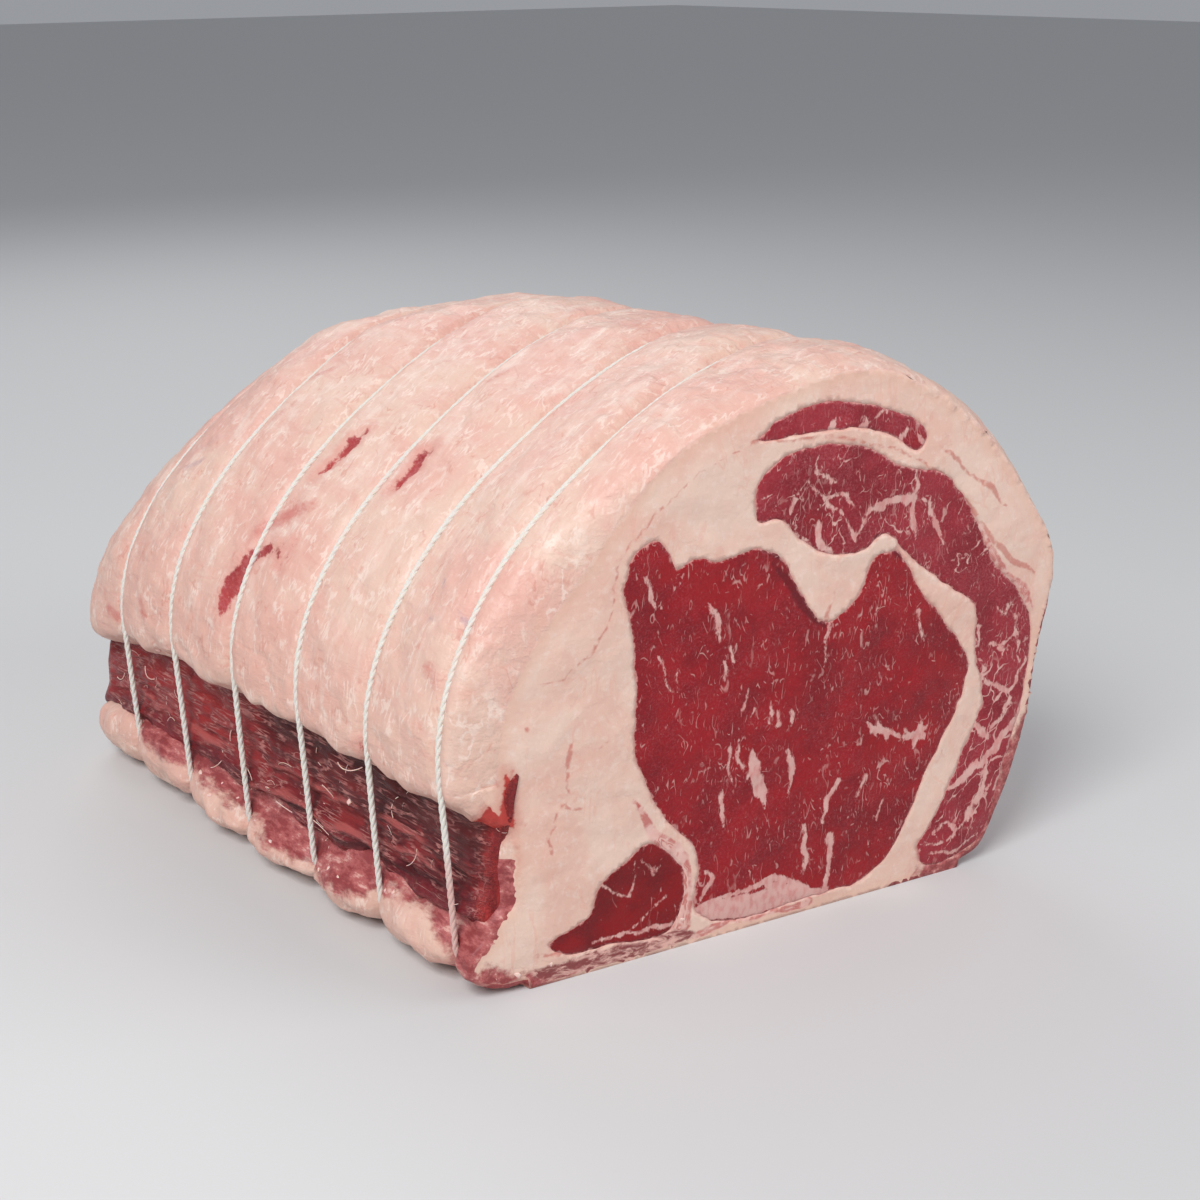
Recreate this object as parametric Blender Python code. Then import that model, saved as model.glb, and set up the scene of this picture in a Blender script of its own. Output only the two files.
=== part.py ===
"""A boneless beef rib roast, rolled and tied with six strings, lying fat side up.

The roll runs along Y. Its near end is cut slantwise, so the right edge of the cut comes forward, and
its far end is rounded off. Every muscle runs through the roll as a bar of its own, in a channel of the fat.
Outlines are in millimetres on the section: x from the lower left corner of the cut, z up from the board.
"""

import math

import bpy
import bmesh

MM = 0.001

# The roll
CUT_SLOPE = -0.262  # y gained per x along the near cut
CUT_START = -4.4  # y of the near cut where x is 0
FAR_SLOPE = -0.07
FAR_START = 208.0
TAPER_FROM = 140.0
TAPER_SHARE = 0.23  # share of the height lost at the far end
NARROW_SHARE = 0.04  # share of the width lost there
SETTLE_CENTRE = (85.0, 60.0)  # behind the first string the upper left side settles towards this point
SETTLE_DEPTH = 7.0
SETTLE_WAY = 132.0  # degrees from +x towards +z, the side that settles most
SETTLE_SPREAD = 42.0
SETTLE_SPAN = (8.0, 40.0)
SAG_DEPTH = 9.0  # how far the crest sinks over the far half
SAG_SPAN = (95.0, 165.0)
SAG_SIDE = (55.0, 95.0)  # x where the crest's sag sets in
TOP_Z = 160.0
CENTRE_X = 75.6
CENTRE_Y = 80.6
ROLL_STEP = 14.0  # longest side of a facet round the roll

# The rounded rim of the cut
RIM_INSET = 2.8
RIM_SWELL = 9.5  # added to the inset where the rim is widest, on the cap's left side
LEFT_RIM_X = (50.0, 0.0)
LEFT_RIM_Z = (50.0, 60.0)
SHOULDER_SHARE = 0.45  # how much of the swell the right shoulder takes
SHOULDER_X = (95.0, 125.0)
SHOULDER_Z = (95.0, 120.0)
RIM_STEPS = ((1.0, 0.0), (0.45, 0.13), (0.18, 0.36), (0.06, 0.68))  # shares of the inset and of the way back
FAR_RIM = ((0.3, 12.0), (0.8, 6.0), (1.8, 1.8), (3.2, 0.0))  # inset, and how far ahead of the far end

# The strings
TIES = 6
TIE_FIRST = 7.6
TIE_PITCH = 34.14
TWINE_R = 0.93
SQUEEZE = 0.9  # how much narrower the roll is at a string
GROOVE_DEPTH = 3.2
GROOVE_HALF = 3.0
TWINE_SINK = 0.95  # depth of the string's middle under the squeezed surface
FOOT_SINK = 0.2  # added under the foot, so that the roll stands clear of its strings
TWINE_ROUND = 2
TOUCH_REACH = 2.0  # a string bites in full where the outline is this near to its taut line

GAP = 0.4  # kept between the pieces
MITRE_LIMIT = 0.4  # least share of its reach that a corner's offset is divided by

# The roll's outline near the cut: flat foot, lip, trimmed side, fat cap, thin right side
ROLL = [
    (2, 0), (-6, 2.2), (-12.5, 6), (-15.5, 11), (-14, 17), (-10.5, 21), (-9, 26), (-8.5, 37), (-9, 47),
    (-11.5, 52), (-16.5, 56.5), (-18, 67), (-16, 82), (-4, 107), (15, 127), (40, 143.5), (72, 156),
    (98, 160), (119, 157), (136, 146.5), (151, 131), (162, 115.5), (168.5, 93), (165.5, 68),
    (163, 43), (155, 16), (148, 3), (140, 0),
]

# The muscles' outlines, in either sense
RIB_EYE = [
    (29, 110), (32, 118), (37, 120), (41.5, 117), (43.5, 111.5), (49, 113.5), (56, 111.5), (67, 113.5),
    (75, 109), (80, 99.5), (89, 89), (100, 96), (104, 105), (109, 106), (119.5, 93), (129, 81),
    (138, 66), (135.5, 55), (129, 42), (121, 24), (116, 13.5), (107, 5.5), (93, 4.6), (51, 10.5),
    (50.5, 30), (44.5, 37), (37.5, 48), (32.5, 62), (32.5, 83), (31, 98),
]
RIB_CAP = [
    (66, 125), (69, 133.5), (75, 137.5), (86, 139), (99, 136.3), (114, 128.5), (121, 127.5), (134, 115),
    (143, 98), (154, 86), (158.8, 78), (160, 66), (158.8, 52), (153, 28), (147.5, 9), (142, 5.5),
    (127, 5), (124.5, 9), (130, 20), (138, 37), (144.5, 56), (141, 67), (137.5, 86), (130, 91.5),
    (116, 102.5), (105, 111.5), (99, 107.5), (88, 108.8), (80, 114), (73, 120.5), (67.5, 120.5),
]
TOP_MUSCLE = [
    (66, 143), (75, 148.3), (86, 150.2), (97, 148.6), (108, 145), (115.5, 141.5), (118, 137),
    (116, 133.8), (107, 138.8), (96, 142), (86, 142.8),
]
CORNER_MUSCLE = [
    (37, 35), (30, 31), (23, 27), (18.5, 17.5), (7.5, 12), (11, 8.4), (24, 7.2), (43, 6.4), (46.5, 25),
    (41, 32),
]
SIDE_MUSCLE = [
    (-9.2, 49.5), (-8.8, 37), (-9.3, 24.5), (-5, 22), (-2.7, 29), (-2.7, 45), (-2, 56), (-0.9, 64.5),
    (-3, 62), (-6, 55),
]
SIDE_FACE_X = -8.0  # left of this the side muscle is bare
SIDE_BREACH = 5.0  # how far the side muscle's channel is opened outwards, so that the muscle shows
MUSCLE_STEP = 16.0
MUSCLE_STATIONS = (0.0, 0.68, 0.79, 0.9, 1.0)  # shares of the length where a muscle has a ring
CHANNEL_OVERRUN = 6.0  # how far a channel's cutter passes the ends of the roll

# Base colour and roughness
FAT_LOOK = ((0.80, 0.60, 0.50), 0.45)
LEAN_LOOK = ((0.32, 0.03, 0.04), 0.35)
DARK_LEAN_LOOK = ((0.20, 0.03, 0.03), 0.40)
TWINE_LOOK = ((0.82, 0.78, 0.72), 0.80)


def clear_scene():
    for thing in list(bpy.data.objects):
        bpy.data.objects.remove(thing, do_unlink=True)


def new_collection(name):
    collection = bpy.data.collections.new(name)
    bpy.context.scene.collection.children.link(collection)
    return collection


def make_material(name, look):
    (red, green, blue), roughness = look
    material = bpy.data.materials.new(name)
    material.use_nodes = True
    shader = material.node_tree.nodes["Principled BSDF"]
    shader.inputs["Base Color"].default_value = (red, green, blue, 1)
    shader.inputs["Roughness"].default_value = roughness
    shader.inputs["Metallic"].default_value = 0
    return material


def signed_area(outline):
    pairs = zip(outline, outline[1:] + outline[:1])
    return sum(x0 * z1 - x1 * z0 for (x0, z0), (x1, z1) in pairs) / 2


def turned_right(outline):
    """The outline in the roll's own sense, clockwise as seen from the near cut."""
    return outline if signed_area(outline) < 0 else outline[::-1]


def spline_point(p0, p1, p2, p3, t):
    """A point of the Catmull-Rom curve between p1 and p2."""
    return tuple(
        0.5 * (2 * b + (c - a) * t + (2 * a - 5 * b + 4 * c - d) * t * t + (3 * b - a - 3 * c + d) * t**3)
        for a, b, c, d in zip(p0, p1, p2, p3)
    )


def smooth_outline(points, step):
    """The closed curve through the points, with no side longer than step. A side on the board is straight."""
    outline = []
    count = len(points)
    for i, start in enumerate(points):
        end = points[(i + 1) % count]
        parts = max(1, math.ceil(math.dist(start, end) / step))
        for k in range(parts):
            t = k / parts
            if start[1] == 0 and end[1] == 0:
                x, z = start[0] + (end[0] - start[0]) * t, 0.0
            else:
                x, z = spline_point(points[i - 1], start, end, points[(i + 2) % count], t)
            outline.append((x, max(z, 0.0)))
    return outline


def outward(outline):
    """A vector out of the outline at each point, as long as keeps the two sides there a unit away."""
    vectors = []
    for before, point, after in zip(outline[-1:] + outline, outline, outline[1:] + outline[:1]):
        (nx0, nz0), (nx1, nz1) = side_normal(before, point), side_normal(point, after)
        reach = max(MITRE_LIMIT, 1 + nx0 * nx1 + nz0 * nz1)
        vectors.append(((nx0 + nx1) / reach, (nz0 + nz1) / reach))
    return vectors


def side_normal(start, end):
    length = math.dist(start, end)
    return -(end[1] - start[1]) / length, (end[0] - start[0]) / length


def moved(outline, distances):
    """The outline with each point moved outwards by its own distance."""
    ways = outward(outline)
    return [(x + nx * d, z + nz * d) for (x, z), (nx, nz), d in zip(outline, ways, distances)]


def convex(points):
    """The corners of the smallest convex outline round the points, in the roll's own sense."""
    ordered = sorted(set(points))

    def half(chain):
        kept = []
        for p in chain:
            while len(kept) > 1 and cross(kept[-2], kept[-1], p) <= 0:
                kept.pop()
            kept.append(p)
        return kept[:-1]

    return (half(ordered) + half(ordered[::-1]))[::-1]


def cross(a, b, c):
    return (b[0] - a[0]) * (c[1] - a[1]) - (b[1] - a[1]) * (c[0] - a[0])


def depth_inside(point, hull):
    """Distance from a point to the nearest side of the hull around it."""
    sides = zip(hull, hull[1:] + hull[:1])
    return min(abs(cross(a, b, point)) / math.dist(a, b) for a, b in sides)


def cut_y(x):
    return CUT_START + CUT_SLOPE * x


def far_y(x):
    return FAR_START + FAR_SLOPE * x


def eased(value, start, end):
    """A smooth step from 0 to 1 as the value goes from start to end."""
    share = min(1.0, max(0.0, (value - start) / (end - start)))
    return share * share * (3 - 2 * share)


def shaped(x, y, z):
    """The point of the section as it lies at y: settled behind the cut's full rim, sagged and tapered."""
    dx, dz = x - SETTLE_CENTRE[0], z - SETTLE_CENTRE[1]
    turned = (math.degrees(math.atan2(dz, dx)) - SETTLE_WAY + 180) % 360 - 180
    drawn = SETTLE_DEPTH * eased(y, *SETTLE_SPAN) * math.exp(-((turned / SETTLE_SPREAD) ** 2))
    drawn *= math.hypot(dx, dz) / 100**2
    x, z = x - dx * drawn, z - dz * drawn
    z -= SAG_DEPTH * eased(y, *SAG_SPAN) * eased(x, *SAG_SIDE) * (z / TOP_Z) ** 2
    beyond = max(0.0, (y - TAPER_FROM) / (FAR_START - TAPER_FROM)) ** 2
    return CENTRE_X + (x - CENTRE_X) * (1 - NARROW_SHARE * beyond), z * (1 - TAPER_SHARE * beyond)


def in_space(x, y, z):
    return ((x - CENTRE_X) * MM, (y - CENTRE_Y) * MM, z * MM)


def placed(x, y, z):
    """A point of the section at y, shaped, as a point in space."""
    side, height = shaped(x, y, z)
    return in_space(side, y, height)


def loft(name, rings, collection, material):
    """A closed solid through rings of equally many points, with flat ends. The rings run away along Y.

    Its sides are triangles split the same way all round, so that a muscle and its channel stay parallel.
    """
    mesh = bmesh.new()
    rows = [[mesh.verts.new(point) for point in ring] for ring in rings]
    count = len(rows[0])
    for near, far in zip(rows, rows[1:]):
        for i in range(count):
            j = (i + 1) % count
            mesh.faces.new((near[i], near[j], far[j]))
            mesh.faces.new((near[i], far[j], far[i]))
    ends = [mesh.faces.new(rows[0][::-1]), mesh.faces.new(rows[-1])]
    mesh.normal_update()
    bmesh.ops.triangulate(mesh, faces=ends)
    data = bpy.data.meshes.new(name)
    mesh.to_mesh(data)
    mesh.free()
    data.materials.append(material)
    data.shade_smooth()
    data.set_sharp_from_angle(angle=math.radians(40))
    made = bpy.data.objects.new(name, data)
    collection.objects.link(made)
    return made


def tie_bites(outline, hull):
    """How much of a string's groove each point of the outline takes, from 0 to 1."""
    return [min(1.0, max(0.0, 2 - depth_inside(point, hull) / TOUCH_REACH)) for point in outline]


def rim_share(x, z):
    """How far the rim goes from its usual to its widest rounding: all of it on the cap's left side."""
    left = eased(x, *LEFT_RIM_X) * eased(z, *LEFT_RIM_Z)
    return max(left, SHOULDER_SHARE * eased(x, *SHOULDER_X) * eased(z, *SHOULDER_Z))


def roll_rings():
    """The roll's rings: a rounded rim at the cut, a groove at each string, swells between, a far rim."""
    outline = turned_right(smooth_outline(ROLL, ROLL_STEP))
    bites = tie_bites(outline, convex(outline))
    on_board = [z == 0 for _, z in outline]
    rings = []

    def add(inset, bite, y_of):
        distances = [-(inset * (not flat) + GROOVE_DEPTH * bite * share)
                     for flat, share in zip(on_board, bites)]
        ring = moved(outline, distances)
        rings.append([placed(x, y_of(x), max(z, 0.0)) for x, z in ring])

    rim = [RIM_INSET + RIM_SWELL * rim_share(x, z) for x, z in outline]
    first_edge = TIE_FIRST - GROOVE_HALF
    for share, way in RIM_STEPS:
        ring = moved(outline, [-inset * share * (z > 0) for inset, (_, z) in zip(rim, outline)])
        rings.append([placed(x, cut_y(x) * (1 - way) + first_edge * way, z) for x, z in ring])
    for k in range(TIES):
        y = TIE_FIRST + k * TIE_PITCH
        add(SQUEEZE, 0, lambda x, y=y: y - GROOVE_HALF)
        add(SQUEEZE, 1, lambda x, y=y: y)
        add(SQUEEZE, 0, lambda x, y=y: y + GROOVE_HALF)
        if k < TIES - 1:
            add(0, 0, lambda x, y=y: y + TIE_PITCH / 2)
    for inset, ahead in FAR_RIM:
        add(inset, 0, lambda x, ahead=ahead: far_y(x) - ahead)
    return rings


def muscle_rings(outline):
    """A ring of the outline at each station between the near cut and the far end."""
    return [
        [placed(x, cut_y(x) * (1 - share) + far_y(x) * share, z) for x, z in outline]
        for share in MUSCLE_STATIONS
    ]


def channel_rings(outline):
    """The muscle's rings for an outline a gap wider, with one more past each end of the roll."""
    rings = muscle_rings(moved(outline, [GAP] * len(outline)))
    before = [(x, y - CHANNEL_OVERRUN * MM, z) for x, y, z in rings[0]]
    after = [(x, y + CHANNEL_OVERRUN * MM, z) for x, y, z in rings[-1]]
    return [before, *rings, after]


def breached(outline):
    """The side muscle's outline with its outer face moved out, for a channel that opens on the side."""
    return [(x - SIDE_BREACH if x < SIDE_FACE_X else x, z) for x, z in outline]


def add_channel_cutter(outline, name, cutters, material):
    cutter = loft(f"{name}_channel", channel_rings(outline), cutters, material)
    cutter.hide_render = True
    cutter.display_type = "WIRE"


def make_muscles(parts, cutters):
    lean = make_material("lean", LEAN_LOOK)
    dark = make_material("dark_lean", DARK_LEAN_LOOK)
    muscles = {
        "rib_eye": (RIB_EYE, lean),
        "rib_cap": (RIB_CAP, lean),
        "top_muscle": (TOP_MUSCLE, lean),
        "corner_muscle": (CORNER_MUSCLE, lean),
        "side_muscle": (SIDE_MUSCLE, dark),
    }
    for name, (points, material) in muscles.items():
        outline = turned_right(smooth_outline(points, MUSCLE_STEP))
        loft(name, muscle_rings(outline), parts, material)
        channel = breached(outline) if name == "side_muscle" else outline
        add_channel_cutter(channel, name, cutters, material)


def make_fat(parts, cutters):
    """The fat and seams round the muscles, cut away where each muscle runs."""
    body = loft("fat", roll_rings(), parts, make_material("fat", FAT_LOOK))
    channels = body.modifiers.new("channels", "BOOLEAN")
    channels.operation = "DIFFERENCE"
    channels.solver = "EXACT"
    channels.operand_type = "COLLECTION"
    channels.collection = cutters


def make_string(index, parts, material):
    """A closed loop of twine: taut across the trimmed side, half sunk in the fat elsewhere."""
    y = TIE_FIRST + index * TIE_PITCH
    outline = turned_right(smooth_outline(ROLL, ROLL_STEP))
    sunk = [-(SQUEEZE * (z > 0) + TWINE_SINK + FOOT_SINK * (z == 0)) for _, z in outline]
    path = convex([shaped(x, y, z) for x, z in moved(outline, sunk)])
    curve = bpy.data.curves.new(f"twine_{index + 1}", "CURVE")
    curve.dimensions = "3D"
    curve.bevel_depth = TWINE_R * MM
    curve.bevel_resolution = TWINE_ROUND
    spline = curve.splines.new("POLY")
    spline.points.add(len(path) - 1)
    spline.use_cyclic_u = True
    for point, (x, z) in zip(spline.points, path):
        point.co = (*in_space(x, y, z), 1)
    curve.materials.append(material)
    parts.objects.link(bpy.data.objects.new(curve.name, curve))


def main():
    clear_scene()
    parts = new_collection("beef_rib_roast")
    cutters = new_collection("cutters")
    make_muscles(parts, cutters)
    make_fat(parts, cutters)
    twine = make_material("twine", TWINE_LOOK)
    for index in range(TIES):
        make_string(index, parts, twine)


main()
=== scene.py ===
import math

import bpy
import numpy as np
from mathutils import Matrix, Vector, geometry, kdtree, noise


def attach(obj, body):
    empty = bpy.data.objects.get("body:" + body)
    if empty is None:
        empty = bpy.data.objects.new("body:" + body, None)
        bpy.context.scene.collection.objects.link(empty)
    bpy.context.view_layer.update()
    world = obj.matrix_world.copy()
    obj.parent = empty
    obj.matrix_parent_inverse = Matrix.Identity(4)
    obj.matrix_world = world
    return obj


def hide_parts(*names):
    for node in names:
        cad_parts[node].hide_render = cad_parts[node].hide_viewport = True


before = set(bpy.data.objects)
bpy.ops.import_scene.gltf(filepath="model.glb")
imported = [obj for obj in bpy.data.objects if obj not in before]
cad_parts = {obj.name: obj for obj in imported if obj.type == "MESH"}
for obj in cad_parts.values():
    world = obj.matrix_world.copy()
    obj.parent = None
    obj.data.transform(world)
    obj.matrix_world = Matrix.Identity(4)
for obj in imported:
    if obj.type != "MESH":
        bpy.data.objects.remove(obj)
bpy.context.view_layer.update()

# ---- The fat -------------------------------------------------------------------------------
# The cap over the top, the seams between the muscles and the lip at the foot, all one piece of raw
# beef fat. It is trimmed bare along the left side, rolled up, and pressed in by six strings.
# Sizes are in millimetres: x from the cut's lower left corner, y along the roll, z up from the board.
MM = 0.001
CENTRE_X, CENTRE_Y = 75.6, 80.6
CUT_SLOPE, CUT_START = -0.262, -4.4
FAR_SLOPE, FAR_START = -0.07, 208.0
TAPER_FROM, TAPER_SHARE, NARROW_SHARE = 140.0, 0.23, 0.04
SETTLE_CENTRE, SETTLE_DEPTH, SETTLE_WAY = (85.0, 60.0), 7.0, 132.0
SETTLE_SPREAD, SETTLE_SPAN = 42.0, (8.0, 40.0)
SAG_DEPTH, SAG_SPAN, SAG_SIDE, TOP_Z = 9.0, (95.0, 165.0), (55.0, 95.0), 160.0
TIES, TIE_FIRST, TIE_PITCH = 6, 7.6, 34.14
TWINE_R = 0.93
ROLL = [
    (2, 0), (-6, 2.2), (-12.5, 6), (-15.5, 11), (-14, 17), (-10.5, 21), (-9, 26), (-8.5, 37), (-9, 47),
    (-11.5, 52), (-16.5, 56.5), (-18, 67), (-16, 82), (-4, 107), (15, 127), (40, 143.5), (72, 156),
    (98, 160), (119, 157), (136, 146.5), (151, 131), (162, 115.5), (168.5, 93), (165.5, 68),
    (163, 43), (155, 16), (148, 3), (140, 0),
]


def eased(value, start, end):
    """A smooth step from 0 to 1 as the value goes from start to end."""
    share = np.clip((value - start) / (end - start), 0, 1)
    return share * share * (3 - 2 * share)


def curve_through(points, step_at):
    """Points along the closed curve through these, at most step_at(place) apart, straight on the board."""
    points = np.array(points, float)
    before, after = np.roll(points, 1, 0), np.roll(points, -1, 0)
    back = np.linalg.norm(points - before, axis=1)[:, None]
    ahead = np.linalg.norm(after - points, axis=1)[:, None]
    way = ((points - before) / back * ahead + (after - points) / ahead * back) / (back + ahead)
    runs = []
    for i, (start, end) in enumerate(zip(points, after)):
        count = max(2, math.ceil(ahead[i, 0] / step_at((start + end) / 2)))
        t = (np.arange(count) / count)[:, None]
        if start[1] == 0 and end[1] == 0:
            runs.append(start + (end - start) * t)
            continue
        leave, arrive = way[i] * ahead[i], way[(i + 1) % len(points)] * ahead[i]
        runs.append(
            (2 * t**3 - 3 * t**2 + 1) * start + (t**3 - 2 * t**2 + t) * leave
            + (3 * t**2 - 2 * t**3) * end + (t**3 - t**2) * arrive
        )
    outline = np.concatenate(runs)
    outline[:, 1] = np.maximum(outline[:, 1], 0)
    return outline


def outward(outline):
    """Unit vectors out of a closed outline that runs clockwise as seen from the cut."""
    along = np.roll(outline, -1, 0) - np.roll(outline, 1, 0)
    normal = np.stack([-along[:, 1], along[:, 0]], 1)
    return normal / np.linalg.norm(normal, axis=1)[:, None]


def convex(points):
    """The corners of the smallest convex outline round the points, clockwise as seen from the cut."""
    ordered = sorted(map(tuple, points))

    def half(chain):
        kept = []
        for p in chain:
            while len(kept) > 1:
                (ax, az), (bx, bz) = kept[-2], kept[-1]
                if (bx - ax) * (p[1] - az) - (bz - az) * (p[0] - ax) > 0:
                    break
                kept.pop()
            kept.append(p)
        return kept[:-1]

    return np.array((half(ordered) + half(ordered[::-1]))[::-1])


def depth_inside(points, hull):
    """Distance from each point to the nearest side of the hull round it."""
    run = np.roll(hull, -1, 0) - hull
    run /= np.linalg.norm(run, axis=1)[:, None]
    rel = points[:, None] - hull[None]
    return np.abs(rel[..., 0] * run[:, 1] - rel[..., 1] * run[:, 0]).min(axis=1)


def cut_y(x):
    return CUT_START + CUT_SLOPE * x


def far_y(x):
    return FAR_START + FAR_SLOPE * x


def shaped(x, y, z):
    """The point of the section as it lies at y: settled behind the cut's full rim, sagged and tapered."""
    dx, dz = x - SETTLE_CENTRE[0], z - SETTLE_CENTRE[1]
    turned = (np.degrees(np.arctan2(dz, dx)) - SETTLE_WAY + 180) % 360 - 180
    drawn = SETTLE_DEPTH * eased(y, *SETTLE_SPAN) * np.exp(-((turned / SETTLE_SPREAD) ** 2))
    drawn = drawn * np.hypot(dx, dz) / 100**2
    x, z = x - dx * drawn, z - dz * drawn
    z = z - SAG_DEPTH * eased(y, *SAG_SPAN) * eased(x, *SAG_SIDE) * (z / TOP_Z) ** 2
    beyond = np.maximum(0, (y - TAPER_FROM) / (FAR_START - TAPER_FROM)) ** 2
    return CENTRE_X + (x - CENTRE_X) * (1 - NARROW_SHARE * beyond), z * (1 - TAPER_SHARE * beyond)


def ripples(places, size, octaves=2):
    """Smooth random heights from about -1 to 1 at each place, in humps of this size."""
    return np.array([noise.fractal(p, 1.0, 2.0, octaves) for p in (places / size).tolist()])


def beside(places, route):
    """How far each place is outside a stroke whose points are places with a half-width last."""
    route = np.array(route, float)
    nearest = np.full(len(places), 1e3)
    for start, end in zip(route, route[1:]):
        run = (end - start)[:-1]
        share = np.clip((places - start[:-1]) @ run / (run @ run), 0, 1)
        gap = np.linalg.norm(places - start[:-1] - share[:, None] * run, axis=1)
        nearest = np.minimum(nearest, gap - start[-1] - (end[-1] - start[-1]) * share)
    return nearest


def nearest_route(places, routes):
    return np.min([beside(places, route) for route in routes], axis=0)


def on_level(points):
    return np.c_[points, np.zeros(len(points))]


def two_ripples(places, size, first=0, second=50):
    return np.stack([ripples(places + first, size), ripples(places + second, size)], 1)


def string_y(k, turn):
    """Where string k lies along the roll, as it goes round; a hand-tied string is never quite straight."""
    return TIE_FIRST + k * TIE_PITCH + 0.55 * np.sin(turn * 2 + 1.7 * k) + 0.3 * np.sin(turn * 5 + 2.9 * k)


def section_step(place):
    return 3.2 if place[1] < 1 else 1.25 if place[0] < 100 else 1.7


section = curve_through(ROLL, section_step)
out = outward(section)
on_board = section[:, 1] == 0
turn = np.arctan2(section[:, 1] - 70, section[:, 0] - CENTRE_X)
hull = convex(section)
TOUCH = 2.0  # a string bites in full where the outline is this near to its taut line
bite = np.clip(2 - depth_inside(section, hull) / TOUCH, 0, 1)

# How deep a string lies: deepest where it bends most, over the crest and round the lip
crest = eased(section[:, 1], 118, 150) * 1.6
round_lip = eased(-section[:, 0], 2, 9) * (1 - eased(section[:, 1], 12, 26)) * 1.4
SQUEEZE, SINK, FOOT_SINK = 0.9, 0.95, 0.2
string_depth = np.where(on_board, SINK + FOOT_SINK, SQUEEZE + SINK + crest + round_lip)

# Rows of the skin: slanted at the cut, straight along the strings, slanted again at the far end
FIRST_EDGE, LAST_EDGE = 4.6, 181.8
FRONT_ROWS, FAR_ROWS = 34, 17
ROW_STEP, ROW_STEP_AT_STRING = 1.55, 0.85
RIM_INSET, RIM_SWELL, FAR_INSET = 2.8, 9.5, 3.2
rim = RIM_INSET + RIM_SWELL * np.maximum(
    eased(section[:, 0], 50, 0) * eased(section[:, 1], 50, 60),
    0.45 * eased(section[:, 0], 95, 125) * eased(section[:, 1], 95, 120),
)
fine = np.linspace(FIRST_EDGE, LAST_EDGE, 4000)
from_string = np.abs((fine - TIE_FIRST + TIE_PITCH / 2) % TIE_PITCH - TIE_PITCH / 2)
density = 1 / ROW_STEP + (1 / ROW_STEP_AT_STRING - 1 / ROW_STEP) * np.exp(-((from_string / 3.5) ** 2))
passed = np.cumsum(density) * (fine[1] - fine[0])
straight = np.interp(np.arange(0, passed[-1]), passed, fine)
rows = []
raised = np.where(on_board, 0, 1)


def add_row(inset, way, y_of):
    x = section[:, 0] - out[:, 0] * inset * raised
    z = section[:, 1] - out[:, 1] * inset * raised
    rows.append((x, y_of(x), z, way))


for step in range(FRONT_ROWS):
    way = (step / FRONT_ROWS) ** 1.3
    add_row(rim * (1 - way) ** 2 / (1 + 5.2 * way), way, lambda x: cut_y(x) * (1 - way) + FIRST_EDGE * way)
for y in straight:
    add_row(0, 1, lambda x: np.full_like(x, y))
for step in range(FAR_ROWS):
    way = 1 - ((step + 1) / FAR_ROWS) ** 0.6
    ahead = 14 * way
    add_row(FAR_INSET * math.exp(-ahead / 1.8) + 0.5 * math.exp(-ahead / 8), way,
            lambda x: LAST_EDGE * way + far_y(x) * (1 - way))
x, y, z, way = map(np.array, zip(*rows))
way = way[:, None]
off_string = np.min([np.abs(y - string_y(k, turn)) for k in range(TIES)], axis=0)
squeezed = (SQUEEZE + 0.3) * raised * np.exp(-off_string / 6)
groove = bite * (string_depth - 0.6) * np.exp(-off_string / 6) * 0.6
groove += bite * (0.4 * (string_depth - 0.6) + 1.0) * np.exp(-((off_string / 1.55) ** 2))
on_lip = eased(-section[:, 0], 1, 8) * (1 - eased(section[:, 1], 15, 22))
swell = (0.5 + 1.6 * on_lip) * raised * (1 - np.exp(-off_string / 9)) - squeezed * (1 - bite)

# Humps and dimples of the soft surface, calm at the strings, at the rims and on the board
places = np.stack([x, y, z], -1).reshape(-1, 3)
calm = (1 - 0.85 * np.exp(-((off_string / 4.5) ** 2))) * (0.25 + 0.75 * eased(way, 0, 0.25)) * raised
humps = 1.1 * ripples(places, 34) + 1.0 * ripples(places + 90, 13, 3) + 0.42 * ripples(places + 40, 4.5, 3)
humps = (humps.reshape(x.shape) + on_lip * 1.1 * ripples(places + 70, 8, 3).reshape(x.shape)) * calm
shift = swell - groove + humps
# The knife leaves the rim of the near cut ragged on its right side
off_cut = y - cut_y(x)
ragged = 1.5 * ripples(places + 20, 2.6, 3).reshape(x.shape) * np.exp(-off_cut / 3.0)
ragged = ragged * eased(x, 60, 130) * eased(z, 20, 45)
shift = shift + ragged
x = x + out[:, 0] * shift
z = z + out[:, 1] * shift
y = y + 0.8 * ragged

# The lip is higher at some strings than at others, and the cap's lower edge is ragged
LIP_AT_STRINGS = (14.5, 17, 11.5, 12.5, 16.5, 22)
string_places = [TIE_FIRST + k * TIE_PITCH for k in range(TIES)]
lip_rise = np.interp(y, string_places, LIP_AT_STRINGS) - 17
left = x < 0
z = z + left * lip_rise * eased(z, 0, 17) * (1 - eased(z, 18, 36))
edge_noise = ripples(np.stack([y * 1.0, z * 0.4, 0 * y], -1).reshape(-1, 3), 17, 3).reshape(x.shape)
off_the_strings = 1 - 0.8 * np.exp(-((off_string / 5) ** 2))
z = z + left * 4.0 * edge_noise * np.exp(-(((z - 55) / 6.5) ** 2)) * off_the_strings
# Behind the bare side muscle the fat steps back, out of sight
x = x + left * 4.0 * eased(z, 21, 27) * (1 - eased(z, 47, 52))
x_at, z_at = shaped(x, y, np.maximum(z, 0))
skin = np.stack([x_at - CENTRE_X, y - CENTRE_Y, z_at], -1)

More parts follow.
